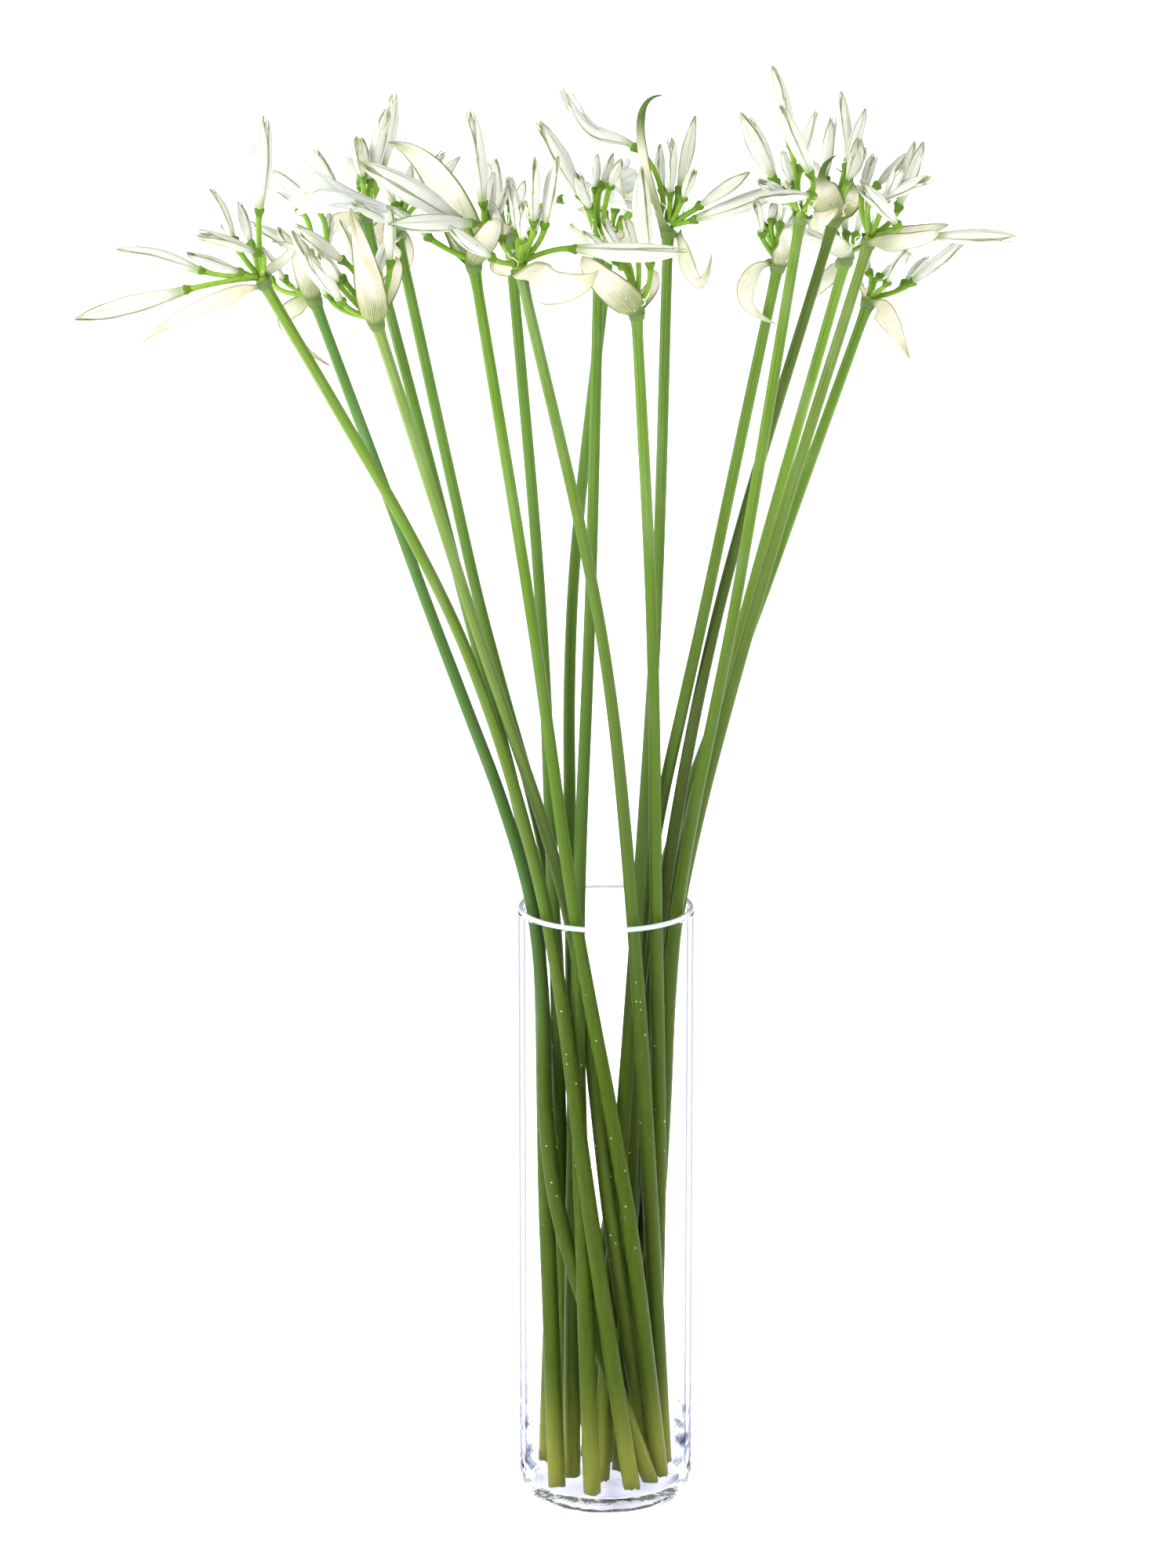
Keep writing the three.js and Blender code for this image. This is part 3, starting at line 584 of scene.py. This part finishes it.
def green_finish(name, tint):
    """A fleshy green skin: fine streaks, a grey bloom, painted shade low on the stalk and deeper in the
    vase, and drops of dew painted as pale glints.
    """
    skin = Finish(name, Roughness=0.34, Specular_IOR_Level=0.09)
    light = paint(*(skin_depth * level for level in tint))
    deep = paint(*(streak_depth * level for level in tint))
    length = skin.times(skin.told("up"), 3.0)
    round_it = skin.add("CombineXYZ", {0: skin.told("east"), 1: skin.told("north"), 2: length}).outputs[0]
    streaks = skin.add("TexNoise", {"Vector": round_it, "Scale": 3.2, "Detail": 4.0}).outputs[0]
    fine = skin.add("TexNoise", {"Vector": round_it, "Scale": 11.0, "Detail": 4.0}).outputs[0]
    colour = skin.mix(skin.ranged(streaks, 0.42, 0.66, 0.0, 0.55), light, deep)
    colour = skin.mix(skin.ranged(fine, 0.5, 0.72, 0.0, 0.5), colour, deep)
    colour = skin.mix(skin.ranged(fine, 0.46, 0.28, 0.0, 0.3), colour, paint(*tint))
    bloom = skin.ranged(skin.noise(55.0, (1, 1, 0.35), 5.0), 0.48, 0.75, 0.02, 0.13)
    colour = skin.mix(bloom, colour, paint(176, 196, 166))
    # Painted shade: below 0.72 m the stalk darkens towards its deep green, and inside the vase darker still.
    height = skin.height()
    shaded = skin.ranged(height, 0.36, 0.72, 0.85, 0.0)
    colour = skin.mix(shaded, colour, deep)
    painted_vase_shade = skin.ranged(height, 0.24, 0.37, 0.8, 0.0)
    colour = skin.mix(painted_vase_shade, colour, paint(58, 75, 0))
    near_foot = skin.ranged(height, 0.01, 0.085, 0.62, 0.0)
    colour = skin.mix(near_foot, colour, paint(136, 138, 56))
    # Small pale spots on the stalks inside the vase stand for dew drops: painted glints.
    cells = skin.add("TexVoronoi", {"Vector": skin.place(), "Scale": 360.0})
    drops = skin.ranged(cells.outputs["Distance"], 0.1, 0.17, 1.0, 0.0)
    some = skin.ranged(skin.add("SeparateXYZ", {0: cells.outputs["Color"]}).outputs[0], 0.88, 0.9)
    glint_band = skin.times(skin.ranged(height, 0.12, 0.18), skin.ranged(height, 0.3, 0.33, 1.0, 0.0))
    dew_glints = skin.times(drops, skin.times(some, glint_band))
    colour = skin.mix(dew_glints, colour, paint(236, 242, 230))
    ragged = skin.math("ADD", height, skin.times(fine, 0.008))
    cut = skin.ranged(ragged, 0.0115, 0.016, 0.7, 0.0)
    colour = skin.mix(cut, colour, paint(132, 118, 72))
    pores = skin.bump(skin.noise(900.0, (1, 1, 0.15)), 0.12 * mm, 0.5)
    skin.wear(Base_Color=colour, Normal=pores)
    return skin


tops = []
for number, flower in enumerate(flowers, 1):
    middles, radii = rings_of(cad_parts[f"stalk_{number:02d}"])
    tops.append((middles[-1], unit(middles[-1] - middles[-2])))
    chance = random.Random(number)
    line = smooth_line(middles, stalk_steps)
    widths = smooth_line(radii[:, None], stalk_steps)
    turns = np.linspace(0, 2 * math.pi, stalk_sides, endpoint=False)
    ridges = 1 + ridge_depth * np.cos(stalk_ridges * turns + chance.uniform(0, 6))
    rows = pipe(line, stalk_fullness * widths * ridges, stalk_sides)
    foot = max(rows[0, :, 2].min(), vase_floor)
    rows[0, :, 2] = [foot + chance.uniform(0, tear) for _ in range(stalk_sides)]
    flesh = Shell("east", "north", "up")
    flesh.add(rows, closed=True, capped=True, east=np.cos(turns), north=np.sin(turns), up=line[:, 2:])
    skin = green_finish(f"stalk_skin_{number:02d}", flower["tint"])
    stalk = flesh.piece(f"green_stalk_{number:02d}", skin)
    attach(stalk, "root")
    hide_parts(f"stalk_{number:02d}")


# The green of each umbel: a small domed receptacle that has grown on the stalk's top, from which the
# arched pedicels spring, each ending in a three-lobed ovary under its floret.
sight_scale = 1.02
sight_lean = 0.19
receptacle_radius = 3.8 * mm
receptacle_top = 3.0 * mm
receptacle_height = 7.5 * mm
receptacle_sink = 0.25
receptacle_outline = [
    (0.3, receptacle_radius),
    (0.45, receptacle_radius),
    (0.8, receptacle_top),
    (0.95, 0.6 * receptacle_top),
    (1.0, 0.1 * receptacle_top),
]
root_depth = 2 * mm
root_spread = 0.55
arch_share = 0.45
back_share = 0.3
pedicel_radius = 1.7 * mm
pedicel_waist = 1.45 * mm
pedicel_steps = 14
pedicel_sides = 10
ovary_radius = 2.7 * mm
ovary_length = 6.5 * mm
ovary_middle = 0.55
ovary_socket = 0.3
ovary_sides = 18
ovary_rings = 11
ovary_outline = [(0, 0.5), (0.25, 0.6), (0.5, 0.82), (0.72, 1.0), (0.86, 0.94), (0.96, 0.7), (1, 0.45)]
ovary_lobes = 3
lobe_depth = 0.2


def seen(place, top):
    """A place given as it is seen from the front: what lies further back is seen a little higher."""
    right, up, back = place
    return top + np.array([right, back, up * sight_scale - back * sight_lean]) * mm


def stem_of(floret, top, axis):
    """Where a floret's pedicel starts, bends and ends, and the floret's tip and direction."""
    ovary = seen((floret[0], floret[1], floret[4] * back_share), top)
    tip = seen(floret[2:], top)
    aim = unit(tip - ovary)
    towards = ovary - top
    towards = unit(towards - axis * towards.dot(axis))
    base = top + axis * (receptacle_height - root_depth) + towards * receptacle_radius * root_spread
    arch = ovary - aim * arch_share * np.linalg.norm(ovary - base)
    return base, arch, ovary, tip, aim


def bent(start, bend, end, steps):
    """A plain arch from start to end that leans towards bend."""
    share = np.linspace(0, 1, steps)[:, None]
    return start * (1 - share) ** 2 + bend * 2 * share * (1 - share) + end * share**2


stem_green = Finish("pedicel_green", Roughness=0.42, Specular_IOR_Level=0.15)
stem_tone = stem_green.mix(stem_green.told("tone"), paint(136, 168, 60), paint(102, 142, 34))
stem_tone = stem_green.mix(stem_green.told("ovary"), stem_tone, paint(66, 100, 14))
stem_patch = stem_green.ranged(stem_green.noise(260.0), 0.4, 0.7, 0.0, 0.35)
stem_green.wear(
    Base_Color=stem_green.mix(stem_patch, stem_tone, paint(84, 126, 38)),
    Normal=stem_green.bump(stem_green.noise(1400.0), 0.08 * mm, 0.4),
)

for number, flower in enumerate(flowers, 1):
    top, axis = tops[number - 1]
    chance = random.Random(100 + number)
    greens = Shell("tone", "ovary")
    dome = [top + axis * receptacle_height * (share - receptacle_sink) for share, _ in receptacle_outline]
    radii = [radius for _, radius in receptacle_outline]
    greens.add(pipe(dome, radii, ovary_sides), closed=True, capped=True, tone=0.4)
    blooms = flower["florets"] + ([flower["trumpet"]] if "trumpet" in flower else [])
    for floret in blooms:
        base, arch, ovary, _, aim = stem_of(floret, top, axis)
        line = bent(base, arch, ovary - aim * ovary_socket * ovary_length, pedicel_steps)
        share = np.linspace(0, 1, pedicel_steps)
        radii = pedicel_waist + (pedicel_radius - pedicel_waist) * (2 * share - 1) ** 2
        tone = chance.uniform(0.2, 1.0)
        greens.add(pipe(line, radii, pedicel_sides), closed=True, capped=True, tone=tone)
        share = np.linspace(0, 1, ovary_rings)
        knob = ovary + aim * ovary_length * (share[:, None] - ovary_middle)
        turns = np.linspace(0, 2 * math.pi, ovary_sides, endpoint=False)
        lobes = 1 + lobe_depth * np.cos(ovary_lobes * turns + chance.uniform(0, 6))
        radii = ovary_radius * np.interp(share, *zip(*ovary_outline))[:, None] * lobes
        greens.add(pipe(knob, radii, ovary_sides), closed=True, capped=True, tone=tone, ovary=0.7)
    stems = greens.piece(f"pedicels_{number:02d}", stem_green)
    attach(stems, "root")
    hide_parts(f"umbel_{number:02d}")


# The white of each umbel: buds whose six tepals, three outer over three inner, still lie against each
# other, thin and slightly waxy, greenish where they leave the ovary and at their pointed tips. Thin
# curly white threads, the bracts of the florets, stand among the pedicels.
bud_slenderness = 0.092
bud_least = 2.9 * mm
bud_lead = 2.0 * mm
bud_profile = [
    (0, 0.42), (0.08, 0.52), (0.25, 0.82), (0.45, 1.0), (0.6, 0.96),
    (0.75, 0.76), (0.88, 0.46), (0.96, 0.2), (1, 0.05),
]
curled_bow = np.array([0.0, 0.0, -0.19])
curled_place = 1.5
curled_slimness = 0.78
pressed_slimness = 0.8
tepal_count = 6
tepal_rows = 17
tepal_columns = 7
tepal_thickness = 0.25 * mm
outer_tepal = (1.0, math.radians(62))
inner_tepal = (0.9, math.radians(56))
inner_shortfall = 0.12
tepal_flatness = 1.02
tepal_wave = 0.45 * mm
tip_opening = 2.6 * mm
tip_bend = 0.9 * mm
tip_narrowing = 0.55
bow_depth = 0.035
thread_radius = 0.3 * mm
thread_foot = 5 * mm
thread_ring = 2.5 * mm
thread_reach = (8 * mm, 15 * mm)
thread_rise = 0.75
thread_spread = 0.6
thread_wander = 2.2 * mm
thread_knots = 5
thread_steps = 4
thread_sides = 6


def through(knots, share):
    """Values of a listed outline of [share, value] at every share."""
    places, values = zip(*knots)
    return np.interp(share, places, values)


def eased(share, low, high):
    part = np.clip((share - low) / (high - low), 0, 1)
    return part * part * (3 - 2 * part)


def cupped(spine, side, face, radius, half_angle, columns):
    """Rows of points across a blade that is bent round its spine, its convex side towards face."""
    across = np.linspace(-1, 1, columns)
    angle = half_angle[:, None] * across
    radius = radius[:, None, None]
    return (spine[:, None] + side[:, None] * radius * np.sin(angle)[:, :, None]
            - face[:, None] * radius * (1 - np.cos(angle))[:, :, None]), across


def add_bud(petals, ovary, tip, aim, chance, bow, bend_place=1.0, slimness=1.0):
    """Six tepals round a slightly bowed line from the ovary to the tip."""
    length = np.linalg.norm(tip - ovary)
    girth = max(bud_least, length * bud_slenderness) * chance.uniform(0.92, 1.14) * slimness
    share = np.linspace(0, 1, tepal_rows)
    start = ovary + aim * bud_lead
    line = start + (tip - start) * share[:, None] + np.sin(math.pi * share**bend_place)[:, None] * bow
    _, normal, sideways = carried(line)
    turn = chance.uniform(0, 2 * math.pi)
    tone = chance.uniform(0, 1)
    looseness = chance.uniform(0.1, 1) ** 2
    for order in range(tepal_count):
        inner = order % 2
        fullness, half = inner_tepal if inner else outer_tepal
        angle = turn + order * 2 * math.pi / tepal_count + chance.uniform(-0.08, 0.08)
        face = math.cos(angle) * normal + math.sin(angle) * sideways
        side = -math.sin(angle) * normal + math.cos(angle) * sideways
        reach = 1 - chance.uniform(0, inner_shortfall) * inner
        radius = girth * fullness * through(bud_profile, share)
        opened = looseness * chance.uniform(0, tip_opening) * eased(share, 0.5, 1)
        bend = side * (chance.uniform(-tip_bend, tip_bend) * looseness * eased(share, 0.7, 1))[:, None]
        spine = start + (line - start) * reach + face * (radius + opened)[:, None] + bend
        narrowed = half * (1 - tip_narrowing * eased(share, 0.75, 1))
        rows, across = cupped(spine, side, face, radius * tepal_flatness, narrowed, tepal_columns)
        ripple = np.sin(chance.uniform(9, 17) * share + chance.uniform(0, 6))
        wave = tepal_wave * ripple * eased(share, 0.2, 0.6)
        rows += face[:, None] * (wave[:, None] * np.abs(across) ** 3)[:, :, None]
        petals.add(rows, along=share[:, None], across=across, tone=tone)


def tepal_finish(name, cool, warm, lines, margin_and_edge_shade):
    """Waxy white with faint veins and a thin green margin darkened by a painted edge shade, greener at the
    root, keel and tip.
    """
    skin = Finish(name, Roughness=0.5, Specular_IOR_Level=0.3)
    along = skin.told("along")
    across = skin.told("across")
    edge = skin.math("ABSOLUTE", across)
    colour = skin.mix(skin.told("tone"), cool, warm)
    mottle = skin.ranged(skin.noise(150.0, detail=5.0), 0.42, 0.7, 0.0, 0.35)
    colour = skin.mix(mottle, colour, paint(240, 242, 230))
    place = skin.add("CombineXYZ", {0: across, 1: skin.times(along, 0.25)}).outputs[0]
    waves = {"Vector": place, "Scale": 1.6, "Distortion": 2.2, "Detail": 3.0, "Detail Scale": 1.6}
    veins = skin.add("TexWave", waves, bands_direction="X").outputs["Fac"]
    colour = skin.mix(skin.ranged(veins, 0.6, 0.95, 0.0, lines), colour, paint(200, 206, 172))
    colour = skin.mix(skin.ranged(along, 0.0, 0.2, 0.8, 0.0), colour, paint(188, 208, 140))
    colour = skin.mix(skin.ranged(along, 0.84, 1.0, 0.0, 0.6), colour, paint(172, 190, 112))
    keel = skin.times(skin.ranged(edge, 0.0, 0.14, margin_and_edge_shade, 0.0), skin.ranged(along, 0.35, 0.9))
    colour = skin.mix(keel, colour, paint(176, 192, 122))
    # A grey-green line is painted along the edges: partly the tepal's green margin, partly painted edge
    # shade.
    hem_and_edge_shade = skin.times(skin.ranged(edge, 0.8, 0.95, 0.0, margin_and_edge_shade), skin.ranged(along, 0.0, 0.6, 0.5, 1.0))
    colour = skin.mix(hem_and_edge_shade, colour, paint(138, 152, 96))
    skin.wear(Base_Color=colour, Normal=skin.bump(veins, 0.18 * mm, 0.5))
    skin.glow_through(0.5, colour)
    return skin


white_tepal = tepal_finish("white_tepal", paint(249, 250, 249), paint(248, 247, 238), 0.4, 0.84)
for number, flower in enumerate(flowers, 1):
    top, axis = tops[number - 1]
    chance = random.Random(200 + number)
    petals = Shell("along", "across", "tone")
    for order, floret in enumerate(flower["florets"]):
        _, _, ovary, tip, aim = stem_of(floret, top, axis)
        length = np.linalg.norm(tip - ovary)
        sideways = unit(np.cross(aim, [chance.uniform(-1, 1) for _ in range(3)]))
        bow = sideways * length * chance.uniform(0, bow_depth)
        if order == flower.get("curled"):
            add_bud(petals, ovary, tip, aim, chance, curled_bow * length, curled_place, curled_slimness)
        else:
            slimness = pressed_slimness if order in flower.get("slim", []) else 1.0
            add_bud(petals, ovary, tip, aim, chance, bow, slimness=slimness)
    for _ in range(0 if flower.get("wrapped") else chance.randint(3, 6)):
        lean = chance.uniform(0, 2 * math.pi)
        out = np.array([math.cos(lean), math.sin(lean), 0.0])
        out = unit(out - axis * out.dot(axis))
        start = top + axis * thread_foot + out * thread_ring
        reach = (axis * thread_rise + out * thread_spread) * chance.uniform(*thread_reach)
        knots = [start]
        for step in range(1, thread_knots + 1):
            wander = np.array([chance.uniform(-1, 1) for _ in range(3)]) * thread_wander
            knots.append(start + reach * step / thread_knots + wander)
        thread = smooth_line(knots, thread_steps)
        radii = thread_radius * np.linspace(1.2, 0.5, len(thread))
        petals.add(pipe(thread, radii, thread_sides), closed=True, capped=True, along=0.5, tone=0.8)
    florets = petals.piece(f"florets_{number:02d}", white_tepal, tepal_thickness)
    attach(florets, "root")
    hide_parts(f"umbel_{number:02d}")


# The two open florets, on the fifth and the seventh stalk: six tepals that leave a narrow tube, widen
# into a trumpet and curl back at their ruffled tips, round six stamens and a style.
trumpet_outline = [(0, 1.6), (0.05, 1.7), (0.3, 3.2), (0.5, 5.2), (0.68, 8.2), (0.85, 12.2), (1, 16.5)]
open_width = [(0, 1.3), (0.15, 2.2), (0.4, 5.0), (0.62, 7.6), (0.8, 8.6), (0.9, 7.0), (0.96, 4.2), (1, 0.8)]
open_rows = 26
open_columns = 11
open_bend = (math.radians(75), math.radians(36))
open_thickness = 0.4 * mm
open_ruffle = 0.9 * mm
inner_spread = 0.9
inner_shortness = 1.5 * mm
stamen_count = 6
stamen_radius = 0.4 * mm
stamen_foot = 3 * mm
stamen_rings = (1 * mm, 2.5 * mm, 4.5 * mm)
stamen_reach = (0.72, 0.92)
stamen_steps = 10
stamen_sides = 8
anther_radius = 0.8 * mm
anther_length = 3.2 * mm
anther_steps = 7

open_tepal = tepal_finish("open_tepal", paint(252, 253, 255), paint(250, 251, 250), 0.14, 0.3)
stamen_thread = Finish("stamen_thread", Roughness=0.5, Specular_IOR_Level=0.3)
grains = stamen_thread.ranged(stamen_thread.noise(1800.0), 0.35, 0.65)
dust = stamen_thread.mix(grains, paint(226, 214, 140), paint(198, 176, 92))
stamen_thread.wear(
    Base_Color=stamen_thread.mix(stamen_thread.told("pollen"), paint(244, 246, 236), dust),
    Normal=stamen_thread.bump(stamen_thread.noise(2400.0), 0.1 * mm, 0.4),
)

for number, flower in enumerate(flowers, 1):
    if "trumpet" not in flower:
        continue
    top, axis = tops[number - 1]
    chance = random.Random(300 + number)
    _, _, ovary, tip, aim = stem_of(flower["trumpet"], top, axis)
    length = np.linalg.norm(tip - ovary)
    _, normals, sides = carried([ovary, tip], (0.0, 0.0, 1.0))
    normal, sideways = normals[0], sides[0]
    share = np.linspace(0, 1, open_rows)
    petals = Shell("along", "across", "tone")
    for order in range(tepal_count):
        inner = order % 2
        angle = order * 2 * math.pi / tepal_count
        out = math.cos(angle) * normal + math.sin(angle) * sideways
        side = -math.sin(angle) * normal + math.cos(angle) * sideways
        spread = through(trumpet_outline, share) * mm * (inner_spread if inner else 1.0)
        reach = length * share - inner_shortness * eased(share, 0.85, 1) * inner
        spine = ovary + aim * reach[:, None] + out * spread[:, None]
        along_spine, _, _ = carried(spine)
        face = unit(np.cross(side, along_spine))
        face = np.where((face * out).sum(axis=1, keepdims=True) < 0, -face, face)
        half = through(open_width, share) * mm
        bend = np.linspace(*open_bend, open_rows)
        sides = np.broadcast_to(side, spine.shape)
        rows, across = cupped(spine, sides, face, half / np.sin(bend), bend, open_columns)
        ripple = np.sin(chance.uniform(12, 18) * share + chance.uniform(0, 6))
        wave = open_ruffle * ripple * eased(share, 0.4, 0.8)
        rows += face[:, None] * (wave[:, None] * np.abs(across) ** 2)[:, :, None]
        petals.add(rows, along=0.2 + 0.7 * share[:, None], across=across, tone=0.1)
    trumpet = petals.piece(f"trumpet_{number:02d}", open_tepal, open_thickness)
    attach(trumpet, "root")
    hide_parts(f"umbel_{number:02d}")
    threads = Shell("pollen")
    for order in range(stamen_count + 1):
        style = order == stamen_count
        angle = order * 2 * math.pi / stamen_count
        out = (math.cos(angle) * normal + math.sin(angle) * sideways) * (0.0 if style else 1.0)
        far = length * chance.uniform(*stamen_reach)
        base, bend, end = [
            ovary + aim * height + out * ring
            for height, ring in zip((stamen_foot, 0.6 * far, far), stamen_rings)
        ]
        line = bent(base, bend, end, stamen_steps)
        threads.add(pipe(line, stamen_radius, stamen_sides), closed=True, capped=True)
        if not style:
            share = np.linspace(0, 1, anther_steps)
            anther = line[-1] + sideways * (share[:, None] - 0.5) * anther_length
            radii = anther_radius * np.sin(math.pi * (0.08 + 0.84 * share))
            threads.add(pipe(anther, radii, stamen_sides), closed=True, capped=True, pollen=1.0)
    stamens = threads.piece(f"stamens_{number:02d}", stamen_thread)
    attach(stamens, "root")
    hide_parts(f"umbel_{number:02d}")


# The spathe of each umbel: two papery valves that wrapped the buds and now stand or hang from a collar
# round the stalk's top. They are cream to peach with fine parallel veins, and green where still fresh.
collar_radius = 4.7 * mm
collar_height = 4 * mm
collar_outline = [(-0.45, 3.7), (-0.3, 3.95), (0.0, 4.2), (0.4, 4.45), (0.5, 4.35)]
collar_rounding = 24
collar_sides = 8
valve_lead = 4 * mm
hanging_up = 5
valve_lean = 0.5
second_say = 0.6
middle_back = 0.7
valve_turn = 0.5
hanging_turn = 0.8
horn_pinch = 0.68
valve_folds = 3
fold_depth = 0.025
swing_depth = 0.05
fine_swing = 31
valve_rows = 36
valve_columns = 13
valve_thickness = 0.35 * mm
valve_width = [
    (0.1, 0.85), (0.22, 1.05), (0.4, 1.12), (0.55, 1.02), (0.7, 0.82), (0.85, 0.5), (0.95, 0.2), (1, 0.03),
]
valve_bend = [(0, 80), (0.12, 70), (0.3, 52), (0.6, 42), (0.85, 46), (1, 60)]
root_half = 4.6 * mm


def valve_turns(first, second, normal, across):
    """The directions from the stalk of both valves, which stand opposite each other."""
    def lean(valve):
        return unit([valve[0] * valve_lean, valve[5], 0.0])

    towards = lean(first) - lean(second) * second_say
    step = 2 * math.pi / collar_sides
    angle = round(math.atan2(towards.dot(across), towards.dot(normal)) / step) * step
    return angle, angle + math.pi


def valve_curve(start, lead, middle, tip, steps):
    """A bent line that leaves start along lead and passes through middle on its way to the tip."""
    first = start + lead * valve_lead
    second = (8 * middle - start - 3 * first - tip) / 3
    share = np.linspace(0, 1, steps)[:, None]
    rest = 1 - share
    return start * rest**3 + first * 3 * rest**2 * share + second * 3 * rest * share**2 + tip * share**3


papery = Finish("papery_valve", Roughness=0.6, Specular_IOR_Level=0.3)
along = papery.told("along")
across = papery.told("across")
edge = papery.math("ABSOLUTE", across)
fresh = papery.told("fresh")
paper_tone = papery.mix(papery.told("tone"), paint(243, 243, 236), paint(245, 239, 228))
blush = papery.times(papery.ranged(papery.noise(75.0), 0.5, 0.72, 0.0, 0.5), papery.told("tone"))
paper_tone = papery.mix(blush, paper_tone, paint(244, 216, 190))
place = papery.add("CombineXYZ", {0: across, 1: papery.times(along, 0.3)}).outputs[0]
waves = {"Vector": place, "Scale": 3.1, "Distortion": 4.5, "Detail": 5.0, "Detail Scale": 2.6}
lines = papery.add("TexWave", waves, bands_direction="X").outputs["Fac"]
worn = papery.ranged(papery.noise(210.0, detail=5.0), 0.4, 0.68, 0.2, 1.0)
vein = papery.times(papery.ranged(lines, 0.6, 1.0, 0.0, 0.65), worn)
paper_tone = papery.mix(vein, paper_tone, paint(198, 196, 156))
green_tone = papery.mix(papery.ranged(lines, 0.25, 0.85), paint(216, 219, 176), paint(140, 150, 84))
near_base = papery.ranged(along, 0.24, 0.58, 1.0, 0.0)
base_green = papery.times(near_base, papery.ranged(fresh, 0.0, 0.8, 0.2, 1.0))
paper_tone = papery.mix(base_green, paper_tone, green_tone)
tip_place = papery.math("SUBTRACT", along, papery.ranged(fresh, 0.9, 1.0, 0.78, 0.5))
tip_share = papery.times(papery.ranged(tip_place, 0.0, 0.26), papery.ranged(fresh, 0.9, 1.0, 0.6, 0.95))
tip_tone = papery.mix(papery.ranged(fresh, 0.9, 1.0), paint(184, 194, 128), paint(98, 128, 42))
paper_tone = papery.mix(tip_share, paper_tone, tip_tone)
hem_and_edge_shade = papery.times(papery.ranged(edge, 0.82, 0.95, 0.0, 0.95), papery.ranged(fresh, 0.0, 0.6, 0.75, 1.0))
hem_tone = papery.mix(fresh, paint(158, 162, 104), paint(100, 130, 44))
paper_tone = papery.mix(hem_and_edge_shade, paper_tone, hem_tone)
root_tone = papery.ranged(along, 0.05, 0.2, 0.8, 0.0)
paper_tone = papery.mix(root_tone, paper_tone, paint(106, 142, 48))
crumple = papery.bump(papery.noise(240.0, detail=5.0), 0.7 * mm, 0.55)
papery.wear(Base_Color=paper_tone, Normal=papery.bump(lines, 0.1 * mm, 0.5, crumple))
papery.glow_through(0.55, paper_tone)

for number, flower in enumerate(flowers, 1):
    top, axis = tops[number - 1]
    chance = random.Random(400 + number)
    normal = unit(np.array([1.0, 0.0, 0.0]) - axis * axis[0])
    sideways = np.cross(axis, normal)
    leaves = Shell("along", "across", "tone", "fresh")
    greenest = max(valve[6] for valve in flower["valves"])
    sleeve = [top + axis * share * collar_height for share, _ in collar_outline]
    widths = [radius * mm for _, radius in collar_outline]
    leaves.add(pipe(sleeve, widths, collar_rounding), closed=True, along=0.0, tone=0.5, fresh=greenest)
    turns = valve_turns(*flower["valves"], normal, sideways)
    for valve, turn in zip(flower["valves"], turns):
        middle_right, middle_up, tip_right, tip_up, width, back, green = valve
        hangs = middle_up <= hanging_up
        outward = math.cos(turn) * normal + math.sin(turn) * sideways
        start = top + outward * collar_radius + axis * (0.0 if hangs else 0.5 * collar_height)
        lead = outward if hangs else axis
        convex = -axis if hangs else outward
        middle = seen((middle_right, middle_up, back * middle_back), top)
        spine = valve_curve(start, lead, middle, seen((tip_right, tip_up, back), top), valve_rows)
        share = np.linspace(0, 1, valve_rows)
        _, face, side = carried(spine, convex)
        facing = np.array([0.0, math.copysign(1.0, back), 0.0])
        pull = valve_turn * share * np.maximum(face @ facing, 0)
        if hangs:
            pull = hanging_turn * eased(share, 0.05, 0.4)
        direction = unit(np.gradient(spine, axis=0))
        face = face + (facing - face) * pull[:, None]
        face = unit(face - direction * (face * direction).sum(axis=1, keepdims=True))
        side = np.cross(direction, face)
        blade = width / 2 * mm * through(valve_width, share)
        if flower.get("horned"):
            blade *= 1 - horn_pinch * eased(share, 0.5, 0.72)
        half = root_half + (blade - root_half) * eased(share, 0.0, 0.2)
        bend = np.radians(through(valve_bend, share))
        rows, across_row = cupped(spine, side, face, half / np.sin(bend), bend, valve_columns)
        ripple = np.sin(chance.uniform(9, 15) * share + chance.uniform(0, 6))
        ripple += 0.5 * np.sin(fine_swing * share)
        swing = swing_depth * width * mm * ripple * eased(share, 0.15, 0.5)
        rows += face[:, None] * (swing[:, None] * across_row * np.abs(across_row))[:, :, None]
        for _ in range(valve_folds):
            lengthwise = chance.uniform(4, 16) * share[:, None]
            fold = np.sin(lengthwise + chance.uniform(2, 6) * across_row + chance.uniform(0, 6))
            depth = fold_depth * width * mm * fold * eased(share, 0.15, 0.5)[:, None]
            rows += face[:, None] * depth[:, :, None]
        leaves.add(rows, along=share[:, None], across=across_row, tone=chance.uniform(0, 1), fresh=green)
    spathe = leaves.piece(f"papery_spathe_{number:02d}", papery, valve_thickness)
    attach(spathe, "root")
    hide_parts(f"spathe_{number:02d}")
